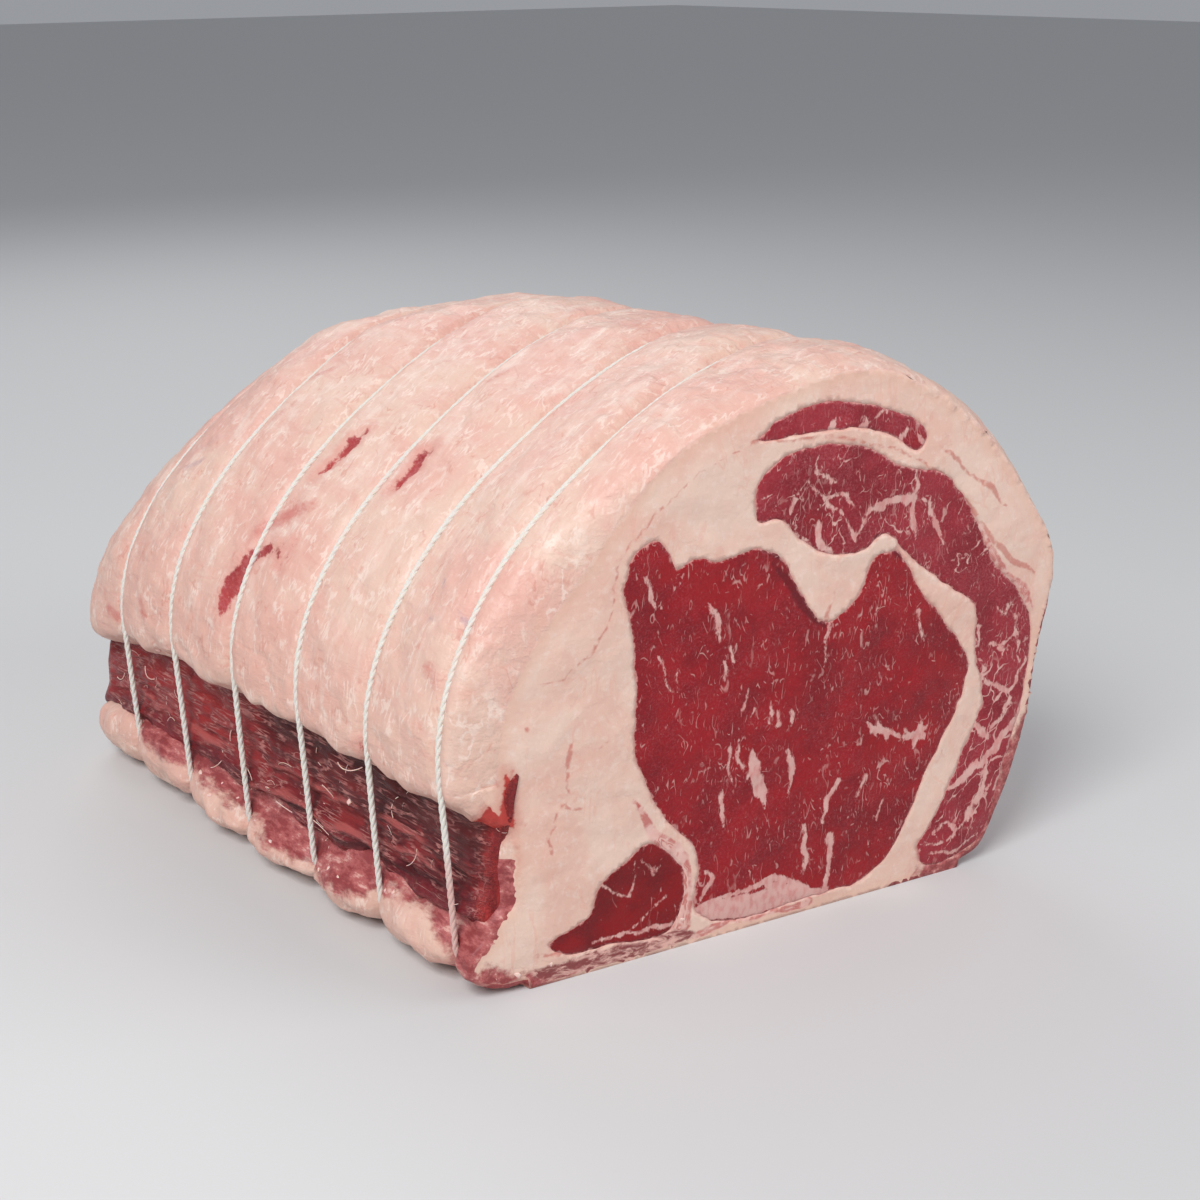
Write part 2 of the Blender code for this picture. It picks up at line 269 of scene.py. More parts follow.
# Marks on the cap, as routes through space with a half-width: slits and bare spots where lean shows
SLITS = [
    [(-62, 21, 116, 0.6), (-56, 18, 122, 1.7), (-51, 17, 126, 2.4), (-47, 15, 129, 0.5)],
    [(-59, -12, 120, 1.0), (-52, -13, 125, 1.6), (-49, -12, 127, 1.8), (-45, -15, 130, 0.3)],
]
BARE_SPOTS = [
    [(-88, 34, 78, 2.2), (-85, 33, 85, 3.4), (-80, 30, 92, 3.0), (-78, 22, 98, 1.8), (-78, 15, 100, 0.6)],
    [(-80, 31, 93, 1.0), (-77, 32, 98, 0.5)],
    [(-78, 17, 99, 1.4), (-81, 11, 95, 0.4)],
    [(-79, 13, 97, 1.2), (-76, 11, 102, 0.3)],
    [(-89, -36, 60, 1.6), (-88, -38, 56, 1.2)],
    [(-88, -66, 5, 1.4), (-85, -76, 5, 2.8), (-80, -84, 4, 3.6), (-72, -88, 2, 2.6), (-62, -90, 1, 1.2)],
]
BLUSHES = [
    [(-75, 31, 100, 2), (-72, 21, 107, 2), (-69, 13, 111, 1)],
    [(-37, 60, 135, 0.5), (-33, 54, 138, 0.5)],
    [(-52, 57, 125, 0.5), (-46, 54, 129, 0.5)],
    [(-22, -10, 144, 0.4), (-18, -13, 146, 0.4)],
    [(-87, -65, 90, 1.2), (-88, -69, 88, 0.8)],
    [(-90, 79, 69, 1.0), (-91, 78, 65, 0.7)],
    [(-89, 105, 59, 2.0), (-89, 101, 58, 1.5)],
    [(-78, -84, 66, 0.6), (-83, -83, 56, 1.6), (-85, -80, 44, 2.6), (-82, -82, 33, 2.4)],
    [(-88, -60, 9, 1.0), (-86, -76, 8, 2.5), (-80, -84, 5, 3.0), (-70, -87, 5, 2.0)],
]
BRUISES = [
    [(-69, 83, 106, 1.5), (-67, 77, 110, 1.0)],
    [(-75, -56, 108, 0.4), (-79, -64, 104, 0.5), (-82, -68, 100, 0.3)],
    [(-77, -61, 106, 0.3), (-81, -72, 103, 0.5), (-80, -76, 98, 0.4)],
    [(-82, -58, 100, 0.3), (-81, -66, 102, 0.4)],
]
WEDGE = [(-79.5, -84.5, 65.5, 0.3), (-80.5, -84.5, 60, 1.2), (-82.5, -82.8, 54, 2.8), (-83, -81.5, 49, 5.0)]
spots = skin.reshape(-1, 3)
slit, bare, blush, bruise = (nearest_route(spots, marks) for marks in (SLITS, BARE_SPOTS, BLUSHES, BRUISES))
# Lean shows on the lip too, low on the right side and in patches underneath
LIP_LINE = [
    (-80, 4), (-60, 20), (-48, 19), (-24, 10), (0, 11), (12, 11), (30, 14), (55, 17), (87, 17), (103, 22),
    (122, 30),
]
lip_line = np.interp(spots[:, 1], *zip(*LIP_LINE))
lip_lean = np.where((spots[:, 0] < -60) & (spots[:, 2] < 40), lip_line - spots[:, 2], 20)
right_line = 84 - 0.1 * (spots[:, 1] + 118) + 9 * ripples(spots * (1, 1, 0.4), 38, 3)
right_lean = np.where(spots[:, 0] > 40, spots[:, 2] - right_line, 20)
under = 9 * ripples(spots * (1, 0.6, 1), 26, 3) + 1.5
foot_lean = np.where((spots[:, 2] < 4) & (np.abs(spots[:, 0]) < 75), under, 20)
skin_lean = np.minimum.reduce([lip_lean, right_lean, foot_lean])
dent = 1.1 * (1 - eased(slit, -0.5, 1.2)) + 0.35 * (1 - eased(bare, -1, 1.5))
dent += 1.2 * (1 - eased(beside(spots, WEDGE), -0.6, 0.5))
flat_out = np.stack([np.tile(out[:, 0], len(x)), 0 * spots[:, 0], np.tile(out[:, 1], len(x))], 1)
spots = spots - flat_out * dent[:, None]
spots[:, 2] = np.maximum(spots[:, 2], 0)
skin = spots.reshape(skin.shape)

# The two cut ends. Each is meshed from the skin's last ring and the muscles' outlines
RIB_EYE = [
    (29, 110), (32, 118), (37, 120), (41.5, 117), (43.5, 111.5), (49, 113.5), (56, 111.5), (67, 113.5),
    (75, 109), (80, 99.5), (89, 89), (100, 96), (104, 105), (109, 106), (119.5, 93), (129, 81),
    (138, 66), (135.5, 55), (129, 42), (121, 24), (116, 13.5), (107, 5.5), (93, 4.6), (51, 10.5),
    (50.5, 30), (44.5, 37), (37.5, 48), (32.5, 62), (32.5, 83), (31, 98),
]
RIB_CAP = [
    (66, 125), (69, 133.5), (75, 137.5), (86, 139), (99, 136.3), (114, 128.5), (121, 127.5), (134, 115),
    (143, 98), (154, 86), (158.8, 78), (160, 66), (158.8, 52), (153, 28), (147.5, 9), (142, 5.5),
    (127, 5), (124.5, 9), (130, 20), (138, 37), (144.5, 56), (141, 67), (137.5, 86), (130, 91.5),
    (116, 102.5), (105, 111.5), (99, 107.5), (88, 108.8), (80, 114), (73, 120.5), (67.5, 120.5),
]
TOP_MUSCLE = [
    (66, 143), (75, 148.3), (86, 150.2), (97, 148.6), (108, 145), (115.5, 141.5), (118, 137),
    (116, 133.8), (107, 138.8), (96, 142), (86, 142.8),
]
CORNER_MUSCLE = [
    (37, 35), (30, 31), (23, 27), (18.5, 17.5), (7.5, 12), (11, 8.4), (24, 7.2), (43, 6.4), (46.5, 25),
    (41, 32),
]
MUSCLES = {"rib_eye": RIB_EYE, "rib_cap": RIB_CAP, "top_muscle": TOP_MUSCLE, "corner_muscle": CORNER_MUSCLE}
OUTLINE_STEP = 1.0
FACE_STEP_LEAN, FACE_STEP_FAT, FAR_FACE_STEP = 0.85, 1.35, 1.9
# The points inside a cut: rows of even triangles, each point a little off its place and clear of the edges
ROW_SHARE, OFF_PLACE, CLEAR_SHARE = 0.866, 0.16, 0.62
chance = np.random.default_rng(11)


def turned_right(outline):
    x, z = outline[:, 0], outline[:, 1]
    area = np.sum(x * np.roll(z, -1) - np.roll(x, -1) * z)
    return outline if area < 0 else outline[::-1]


def inside(points, outline):
    """Whether each point lies inside the closed outline."""
    crossings = np.zeros(len(points), int)
    for (ax, az), (bx, bz) in zip(outline, np.roll(outline, -1, 0)):
        straddles = (az > points[:, 1]) != (bz > points[:, 1])
        if az != bz:
            crossings += straddles & (points[:, 0] < ax + (points[:, 1] - az) / (bz - az) * (bx - ax))
    return crossings % 2 == 1


outlines = {}
for name, points in MUSCLES.items():
    smooth = turned_right(curve_through(points, lambda place: OUTLINE_STEP))
    level = on_level(smooth)
    uneven = 0.55 * ripples(level, 5) + 0.25 * ripples(level + 30, 2.2)
    outlines[name] = smooth + outward(smooth) * uneven[:, None]


def nearest_gap(points, fixed):
    tree = kdtree.KDTree(len(fixed))
    for i, (a, b) in enumerate(fixed.tolist()):
        tree.insert((a, b, 0), i)
    tree.balance()
    return np.array([tree.find((a, b, 0))[2] for a, b in points.tolist()])


def mesh_face(ring, holes, lean_step, fat_step):
    """A cut end's points, its triangles, which muscle each is in (-1 is fat), and distances to an edge."""
    rings = [ring, *holes.values()]
    fixed = np.concatenate(rings)
    low, high = ring.min(axis=0), ring.max(axis=0)
    found = []
    for step, in_lean in ((lean_step, True), (fat_step, False)):
        columns, levels = np.arange(low[0], high[0], step), np.arange(low[1], high[1], step * ROW_SHARE)
        across, up = np.meshgrid(columns, levels)
        across = across + step / 2 * (np.arange(len(across)) % 2)[:, None]
        grid = np.stack([across.ravel(), up.ravel()], 1)
        grid = grid + chance.uniform(-OFF_PLACE, OFF_PLACE, (across.size, 2)) * step
        in_muscle = np.any([inside(grid, hole) for hole in holes.values()], axis=0)
        grid = grid[(in_muscle == in_lean) & inside(grid, ring)]
        found.append(grid[nearest_gap(grid, fixed) > CLEAR_SHARE * min(step, OUTLINE_STEP)])
    points = np.concatenate([fixed, *found])
    edges, start = [], 0
    for loop in rings:
        count = len(loop)
        edges += [(start + i, start + (i + 1) % count) for i in range(count)]
        start += count
    made = geometry.delaunay_2d_cdt([Vector(p) for p in points.tolist()], edges, [], 0, 1e-5)
    points = np.array([tuple(p) for p in made[0]])
    triangles = np.array(made[2])
    middles = points[triangles].mean(axis=1)
    kept = inside(middles, ring)
    triangles, middles = triangles[kept], middles[kept]
    label = np.full(len(triangles), -1)
    for i, hole in enumerate(holes.values()):
        label[inside(middles, hole)] = i
    corner = points[triangles]
    ab, ac = corner[:, 1] - corner[:, 0], corner[:, 2] - corner[:, 0]
    flipped = ab[:, 0] * ac[:, 1] - ab[:, 1] * ac[:, 0] < 0
    triangles[flipped] = triangles[flipped][:, ::-1]
    return points, triangles, label, nearest_gap(points, fixed)


def on_plane(points, y, heights):
    """Points of a cut end in the part's own frame, raised out of the cut by their heights."""
    return np.stack([points[:, 0] - CENTRE_X, y - CENTRE_Y + heights, points[:, 1]], 1)


near_ring = skin[0][:, (0, 2)] + (CENTRE_X, 0)
near_points, near_triangles, near_label, near_edge = mesh_face(
    near_ring, outlines, FACE_STEP_LEAN, FACE_STEP_FAT)
far_ring = skin[-1][:, (0, 2)] + (CENTRE_X, 0)
far_outlines = {}
for name, outline in outlines.items():
    far_outlines[name] = np.stack(shaped(outline[:, 0], far_y(outline[:, 0]), outline[:, 1]), 1)
far_points, far_triangles, far_label, far_edge = mesh_face(
    far_ring, far_outlines, FAR_FACE_STEP, FAR_FACE_STEP)


def cut_relief(points, ring_count, edge):
    """Low humps of a knife cut through the roll, flat at the rim and a little sunk along every seam."""
    level = on_level(points)
    humps = 0.7 * ripples(level, 26) + 0.3 * ripples(level + 60, 8) + 0.12 * ripples(level + 20, 2.6)
    rim = nearest_gap(points, points[:ring_count])
    return (0.45 + humps) * eased(rim, 0, 9) - 0.05 * np.exp(-edge / 0.6) * eased(rim, 0, 1), rim


near_y = cut_y(near_points[:, 0])
near_height, near_rim = cut_relief(near_points, len(near_ring), near_edge)
near_at = on_plane(near_points, near_y, -near_height)
far_x = CENTRE_X + (far_points[:, 0] - CENTRE_X) / (1 - NARROW_SHARE)
far_height, far_rim = cut_relief(far_points, len(far_ring), far_edge)
far_at = on_plane(far_points, far_y(far_x), far_height)
near_at[: len(near_ring)] = skin[0]
far_at[: len(far_ring)] = skin[-1]


def loops_of(rings):
    """The point numbers of each closed loop that a face was meshed from."""
    start, found = 0, []
    for ring in rings:
        found.append(np.arange(start, start + len(ring)))
        start += len(ring)
    return found


near_loops = loops_of([near_ring, *outlines.values()])
far_loops = loops_of([far_ring, *far_outlines.values()])


def tube(*loops):
    """Quads between each closed loop of point numbers and the next, facing out of the loops."""
    number = np.array(loops)
    beyond = np.roll(number, -1, 1)
    return np.stack([number[:-1], beyond[:-1], beyond[1:], number[1:]], -1).reshape(-1, 4)


def in_scene(name, data):
    piece = bpy.data.objects.new(name, data)
    bpy.context.scene.collection.objects.link(piece)
    return piece


def made_piece(name, points, faces, values, smooth_parts):
    """A mesh object from points in millimetres. Its first smooth_parts groups of faces are shaded smooth."""
    used = np.unique(np.concatenate([np.ravel(part) for part in faces]))
    place = np.zeros(len(points), int)
    place[used] = np.arange(len(used))
    mesh = bpy.data.meshes.new(name)
    all_faces = [row for part in faces for row in place[part].tolist()]
    mesh.from_pydata((points[used] * MM).tolist(), [], all_faces)
    for label, numbers in values.items():
        layer = mesh.attributes.new(label, "FLOAT", "POINT")
        layer.data.foreach_set("value", np.asarray(numbers, np.float32)[used])
    soft = sum(len(part) for part in faces[:smooth_parts])
    mesh.polygons.foreach_set("use_smooth", np.arange(len(mesh.polygons)) < soft)
    return in_scene(name, mesh)


count_v, count_u = skin.shape[:2]
number = np.arange(count_v * count_u).reshape(count_v, count_u)
near_start, far_start = count_v * count_u, count_v * count_u + len(near_at)
near_number = np.arange(len(near_at)) + near_start
near_number[: count_u] = number[0]
far_number = np.arange(len(far_at)) + far_start
far_number[: count_u] = number[-1]
channel_walls = [
    tube(near_number[near], far_number[far])[:, ::-1] for near, far in zip(near_loops[1:], far_loops[1:])
]
fat_points = np.concatenate([skin.reshape(-1, 3), near_at, far_at])
fat_faces = [
    tube(*number),
    near_number[near_triangles[near_label < 0]],
    far_number[far_triangles[far_label < 0][:, ::-1]],
    *channel_walls,
]

# Thin red seams between the layers of fat on the cuts, (x, z, half-width), and a few vessels
SEAMS = [
    [(64, 143, 0.2), (77, 141, 0.35), (88, 141, 0.3), (98, 137.6, 0.3), (110, 134.2, 0.25), (115, 130.5, 0.2),
     (123, 126.6, 0.2), (134, 115.2, 0.5), (143, 104, 0.6), (150, 96.5, 0.9), (160, 91.3, 0.5)],
    [(125, 132, 0.7), (129, 128.6, 0.4), (135, 122, 0.2), (141, 119.3, 0.8), (145, 114, 0.3),
     (147.5, 112.6, 0.1)],
    [(64.7, 141.5, 0.1), (50, 137, 0.15), (36, 126, 0.2), (27, 117, 0.2), (25, 101, 0.15), (20, 94, 0.2),
     (11.5, 87.6, 0.2), (-1, 87, 0.15)],
    [(14, 70, 0.3), (13.2, 65.5, 0.6), (12.9, 59, 0.25), (13.7, 54.6, 0.1)],
    [(11.4, 52.8, 0.6), (14, 51.4, 0.3), (18.4, 49.4, 0.15)],
    [(10.3, 51, 0.2), (7.7, 44.2, 0.25), (7.7, 39.8, 0.5)],
    [(24, 68.4, 0.15), (20.7, 65.8, 0.2)],
    [(2.4, 76.9, 0.5), (2.6, 76.4, 0.4)],
    [(1.4, 49, 0.4), (1.6, 48.6, 0.3)],
    [(33, 47.4, 0.4), (33.3, 46.9, 0.3)],
    [(-1.6, 66, 0.2), (-4, 59, 0.5), (-5.4, 47.4, 0.9), (-5.5, 37.7, 1.2), (-3, 28, 0.5)],
    [(92.6, 98.5, 0.3), (89.2, 91.6, 0.5), (88.5, 88, 0.3)],
    [(3, 10, 0.3), (10, 9, 0.7), (16, 12.5, 0.4)],
    [(84, 18, 0.1), (120, 22, 0.1), (124, 30, 0.15), (131, 41, 0.1)],
]
FIBROUS = [
    [(32, 49, 0.6), (35, 43, 1.1), (38.5, 36.6, 1.8), (43, 32, 2.2), (47, 27, 2.0), (47.6, 18, 2.2),
     (46.5, 7, 3.0)],
    [(134, 114, 0.6), (139.5, 106, 1.1), (143, 99.7, 1.2), (149, 92, 1.0), (156, 86, 1.2), (160, 80, 0.6)],
    [(52, 2, 1.4), (62, 3.5, 0.9), (76, 2.5, 0.8), (88, 2.5, 1.6)],
]
SINEW = [(-4, 3.2, 2.0), (12, 2.6, 3.2), (30, 3, 3.2), (44, 3.2, 2.6), (50, 3, 1.4)]
WEDGE_ON_CUT = [(-3.4, 65.5, 0.4), (-3.4, 58, 1.2), (-4, 50, 2.4), (-6, 42, 4.0), (-7.5, 33, 4.2)]
RIM_LEAN = [
    [(165, 52, 1.0), (160, 42, 2.6), (156, 28, 4.0), (150, 10, 4.0), (146, 2, 3.5), (128, 1, 3.0)],
    [(-10, 8, 1.5), (-5, 3, 3.5), (4, 0, 2.6), (14, 0, 1.0)],
]
# The lower far cut takes the near one's marks: its points are stretched up to where they would lie there
FAR_STRETCH, FAR_LIFT = (1, 1.25), (0, 2)
flat_cuts = np.concatenate([near_points, far_points * FAR_STRETCH + FAR_LIFT])
level = on_level(flat_cuts)
wobbly = flat_cuts + 0.9 * two_ripples(level, 6)
near_by_lean = nearest_gap(near_points, np.concatenate(list(outlines.values())))
far_by_lean = nearest_gap(far_points, np.concatenate(list(far_outlines.values())))
# How far round the roll each point of the skin is from a line high on the right side
LINE_PAST_HALF = 35
step_round = np.linalg.norm(np.roll(section, -1, 0) - section, axis=1)
passed_round = np.concatenate([[0], np.cumsum(step_round)[:-1]])
around = np.abs(passed_round - step_round.sum() * 0.5 - LINE_PAST_HALF)


def padded_out(on_skin, on_cuts):
    """A value for each point of the fat. Either part may be one number."""
    cuts = len(near_at) + len(far_at)
    return np.concatenate([on_skin + np.zeros(len(spots)), on_cuts + np.zeros(cuts)])


NONE_ON_CUTS, NONE_ON_SKIN = 20, 9
fat = made_piece("fat_and_seams", fat_points, fat_faces, {
    "lean_gap": padded_out(np.minimum(slit, bare), NONE_ON_CUTS),
    "meaty": padded_out(skin_lean, nearest_route(wobbly, RIM_LEAN)),
    "blush": padded_out(blush, NONE_ON_CUTS),
    "bruise": padded_out(bruise, NONE_ON_CUTS),
    "seam": padded_out(NONE_ON_SKIN, nearest_route(wobbly, SEAMS)),
    "fibrous": padded_out(NONE_ON_SKIN, nearest_route(wobbly, FIBROUS)),
    "sinew": padded_out(NONE_ON_SKIN, nearest_route(wobbly, [SINEW])),
    "rim": padded_out(0, np.concatenate([near_rim, far_rim])),
    "cut": padded_out(0, 1),
    "wedge": padded_out(beside(spots, WEDGE), beside(wobbly, WEDGE_ON_CUT)),
    "by_lean": padded_out(NONE_ON_SKIN, np.concatenate([near_by_lean, far_by_lean])),
    "around": padded_out(np.tile(around, len(x)), 0),
}, 3)


def add_step(tree, kind, inputs=None, **settings):
    """A node. An input is a value or the socket that it comes from."""
    made = tree.nodes.new(kind)
    for name, value in settings.items():
        setattr(made, name, value)
    for key, value in (inputs or {}).items():
        if isinstance(value, bpy.types.NodeSocket):
            tree.links.new(value, made.inputs[key])
        else:
            made.inputs[key].default_value = value
    return made


def add_node(tree, kind, inputs=None, **settings):
    return add_step(tree, "ShaderNode" + kind, inputs, **settings)


def tree_of(*values):
    """The node tree of the first socket among the values."""
    return next(value.id_data for value in values if isinstance(value, bpy.types.NodeSocket))


def sums(operation, *terms):
    return add_node(tree_of(*terms), "Math", dict(enumerate(terms)), operation=operation).outputs[0]


def plus(first, second):
    return sums("ADD", first, second)


def minus(first, second):
    return sums("SUBTRACT", first, second)


def times(first, second):
    return sums("MULTIPLY", first, second)


def vector_sums(operation, first, second):
    inputs = {0: first, "Scale" if operation == "SCALE" else 1: second}
    return add_node(tree_of(first, second), "VectorMath", inputs, operation=operation).outputs[0]


def mixed(share, first, second):
    """A colour between two, by a share."""
    first, second = [(*c, 1) if isinstance(c, tuple) and len(c) == 3 else c for c in (first, second)]
    inputs = {0: share, 6: first, 7: second}
    return add_node(tree_of(share, first, second), "Mix", inputs, data_type="RGBA").outputs[2]


def between(value, low, high, start=0.0, end=1.0):
    """A smooth step from start to end as the value goes from low to high."""
    inputs = {"Value": value, "From Min": low, "From Max": high, "To Min": start, "To Max": end}
    return add_node(value.id_data, "MapRange", inputs, interpolation_type="SMOOTHSTEP").outputs[0]


def cloud(where, size, detail=2.0, roughness=0.5, warp=0.0):
    """Noise with features of this size in millimetres."""
    inputs = {"Vector": where, "Scale": 1 / (size * MM), "Detail": detail, "Roughness": roughness}
    return add_node(where.id_data, "TexNoise", {**inputs, "Distortion": warp}).outputs["Fac"]


def blots(where, noise, low, high, start=0.0, end=1.0):
    """Soft blots from a cloud, whose size, detail, roughness and warp are the noise."""
    return between(cloud(where, *noise), low, high, start, end)


def waver(where, size, reach, detail=4.0):
    """Noise of this size in millimetres, from about -reach to reach, that frays an edge."""
    return times(minus(cloud(where, size, detail, 0.65), 0.5), 2 * reach)


def creases(where, size, width, detail=2.0, warp=0.0):
    """Thin wandering lines: 1 on a line, 0 beside it."""
    off = sums("ABSOLUTE", minus(cloud(where, size, detail, 0.5, warp), 0.5))
    return between(off, width, width * 0.3)


def stretched(where, *scale):
    return add_node(where.id_data, "Mapping", {"Vector": where, "Scale": scale}).outputs[0]


def value_of(tree, name):
    return add_node(tree, "Attribute", attribute_name=name).outputs["Fac"]


def frayed(name, where, size, reach, low, high, most):
    """The mask of a mark with a frayed edge: 0 beyond low mm outside it, and most from high mm on."""
    return between(plus(value_of(where.id_data, name), waver(where, size, reach)), low, high, 0, most)


def new_group(name, inputs, outputs, tree_kind="ShaderNodeTree"):
    """A node group with inputs by name, as (kind, default), and outputs, with its end nodes' sockets."""
    tree = bpy.data.node_groups.new(name, tree_kind)
    for label, (kind, default) in inputs.items():
        socket = tree.interface.new_socket(label, in_out="INPUT", socket_type="NodeSocket" + kind)
        if default is not None:
            socket.default_value = default
    for label, kind in outputs.items():
        tree.interface.new_socket(label, in_out="OUTPUT", socket_type="NodeSocket" + kind)
    return tree, tree.nodes.new("NodeGroupInput").outputs, tree.nodes.new("NodeGroupOutput").inputs


def use_group(group, inputs):
    return add_node(tree_of(*inputs.values()), "Group", inputs, node_tree=group).outputs


def new_material(name, **fixed):
    """A material with its tree, its shader and the object's own coordinates."""
    material = bpy.data.materials.new(name)
    material.use_nodes = True
    tree = material.node_tree
    shader = tree.nodes["Principled BSDF"]
    for key, value in fixed.items():
        shader.inputs[key.replace("_", " ")].default_value = value
    return material, tree, shader, add_node(tree, "TexCoord").outputs["Object"]


def fed(shader, **sockets):
    """Links each socket to the shader's input of that name."""
    for name, socket in sockets.items():
        shader.id_data.links.new(socket, shader.inputs[name.replace("_", " ")])


def bump(height, strength, distance):
    inputs = {"Height": height, "Strength": strength, "Distance": distance * MM}
    return add_node(height.id_data, "Bump", inputs).outputs[0]


def marked(colour, marks):
    """The colour with marks laid on it in turn: what frayed takes, all given, and then a tone."""
    for *mask, tone in marks:
        colour = mixed(frayed(*mask), colour, tone)
    return colour


# Raw lean: a grain of fibre ends, a pale haze of fine fat and the uneven gloss of a moist cut
lean_inputs = {
    "Vector": ("Vector", None), "Dark": ("Color", (0.18, 0.006, 0.012, 1)),
    "Mid": ("Color", (0.27, 0.010, 0.018, 1)), "Bright": ("Color", (0.42, 0.020, 0.026, 1)),
    "Haze": ("Float", 0.3),
}
lean_outputs = {"Colour": "Color", "Height": "Float", "Roughness": "Float"}
lean_tree, lean_in, lean_out = new_group("raw_lean", lean_inputs, lean_outputs)
grain = cloud(lean_in["Vector"], 0.9, 3, 0.7)
haze = blots(lean_in["Vector"], (0.6, 3, 0.75), 0.42, 0.75)
patches = blots(lean_in["Vector"], (11, 3), 0.35, 0.68, 0.3, 1.0)
meat = mixed(blots(lean_in["Vector"], (17, 3, 0.6), 0.36, 0.64), lean_in["Dark"], lean_in["Mid"])
meat = mixed(between(grain, 0.48, 0.8, 0, 0.5), meat, lean_in["Bright"])
meat = mixed(times(times(haze, patches), lean_in["Haze"]), meat, (0.56, 0.17, 0.19))
lean_tree.links.new(meat, lean_out["Colour"])
lean_tree.links.new(grain, lean_out["Height"])
lean_tree.links.new(between(grain, 0.35, 0.7, 0.34, 0.58), lean_out["Roughness"])


def raw_lean(where, haze, dark, mid, bright):
    tones = {"Dark": (*dark, 1), "Mid": (*mid, 1), "Bright": (*bright, 1)}
    return use_group(lean_tree, {"Vector": where, "Haze": haze, **tones})


fat_look, tree, shader, where = new_material(
    "raw_fat", Specular_IOR_Level=0.4, Coat_Weight=0.08, Coat_Roughness=0.25)
along_roll = stretched(where, 1, 0.5, 1)
axes = add_node(tree, "SeparateXYZ", {0: where}).outputs
round_roll = times(value_of(tree, "around"), 0.26 * MM)
drawn_up = add_node(tree, "CombineXYZ", {0: round_roll, 1: axes[1], 2: times(axes[0], 0.3)}).outputs[0]
# The skin: pale and pink blots, thin folds, torn films and a few red wisps
skin_fat = mixed(blots(along_roll, (26, 4, 0.6), 0.38, 0.62), (0.74, 0.51, 0.415), (0.73, 0.42, 0.35))
for noise_of_blots, low, high, most, tone in (
    ((7, 4, 0.6, 0.4), 0.5, 0.72, 0.6, (0.82, 0.64, 0.555)),
    ((2.4, 5, 0.7, 0.5), 0.5, 0.75, 0.5, (0.70, 0.37, 0.28)),
    ((1.3, 4, 0.7, 0.3), 0.54, 0.72, 0.45, (0.88, 0.72, 0.62)),
):
    skin_fat = mixed(blots(drawn_up, noise_of_blots, low, high, 0, most), skin_fat, tone)
lower_down = between(plus(axes[2], waver(where, 30, 20 * MM)), 105 * MM, 60 * MM, 0, 0.35)
skin_fat = mixed(lower_down, skin_fat, (0.70, 0.42, 0.33))
folds = times(creases(along_roll, 11, 0.05, 4, 0.5), blots(where, (13, 2), 0.42, 0.6))
skin_fat = mixed(times(folds, 0.3), skin_fat, (0.70, 0.35, 0.29))
films = times(creases(stretched(drawn_up, 1.5, 1, 1), 3.0, 0.05, 4, 0.3), blots(where, (6, 3), 0.47, 0.62))
skin_fat = mixed(times(films, 0.5), skin_fat, (0.88, 0.73, 0.64))
wisps = times(creases(stretched(drawn_up, 1.6, 1, 1), 5.5, 0.022, 3, 0.3), blots(where, (8, 2), 0.54, 0.64))
skin_fat = mixed(times(wisps, 0.4), skin_fat, (0.58, 0.20, 0.15))
# The cuts: smoother, with faint layers, pinker at the rim with a painted shade of its rounded edge, and
# stained beside the lean
cut_fat = mixed(blots(where, (24, 3, 0.55, 0.8), 0.36, 0.66), (0.78, 0.56, 0.46), (0.75, 0.47, 0.38))
cut_fat = mixed(blots(where, (2.2, 4, 0.7), 0.48, 0.75, 0, 0.5), cut_fat, (0.84, 0.68, 0.60))
layers = creases(stretched(where, 1, 1, 0.4), 9, 0.03, 3, 1.2)
layers = times(layers, blots(where, (13, 1), 0.45, 0.6, 0, 0.3))
cut_fat = mixed(layers, cut_fat, (0.74, 0.37, 0.29))
# Painted shade of the rounded rim: the cut fat turns darker towards the rim, and pinker in its own tone
cut_fat = mixed(between(value_of(tree, "rim"), 4.5, 0.5, 0, 0.55), cut_fat, (0.76, 0.46, 0.35))
cut_fat = marked(cut_fat, [("by_lean", where, 1.5, 1.3, 0.9, -0.2, 0.6, (0.66, 0.27, 0.23))])
# The marks on both: fibrous seams, sinew, meaty patches, slits, and the fresh wound by the corner
strand = plus(times(value_of(tree, "fibrous"), MM), times(waver(where, 5, 1.2, 1), MM))
threads = creases(add_node(tree, "CombineXYZ", {0: strand, 1: 0.0, 2: 0.0}).outputs[0], 0.9, 0.07, 2)
threads = times(threads, blots(where, (3, 2), 0.4, 0.58, 0, 0.85))
bundle = mixed(threads, mixed(cloud(where, 2, 3), (0.66, 0.30, 0.26), (0.84, 0.60, 0.53)), (0.50, 0.10, 0.09))
sinews = blots(stretched(where, 0.3, 1, 1), (2.2, 5, 0.7, 0.6), 0.42, 0.6)
fatty = cloud(stretched(where, 1, 0.35, 1), 3.2, 5, 0.7)
meaty = mixed(between(fatty, 0.42, 0.58), (0.25, 0.02, 0.026), (0.44, 0.10, 0.10))
meaty = mixed(between(fatty, 0.56, 0.68, 0, 0.8), meaty, (0.76, 0.44, 0.38))
lean = raw_lean(
    stretched(where, 1, 0.4, 0.4), 0.8, (0.26, 0.018, 0.02), (0.44, 0.05, 0.05), (0.62, 0.16, 0.13))
fresh = mixed(cloud(stretched(where, 1, 1, 0.4), 2.5, 4, 0.65), (0.30, 0.012, 0.012), (0.62, 0.07, 0.05))
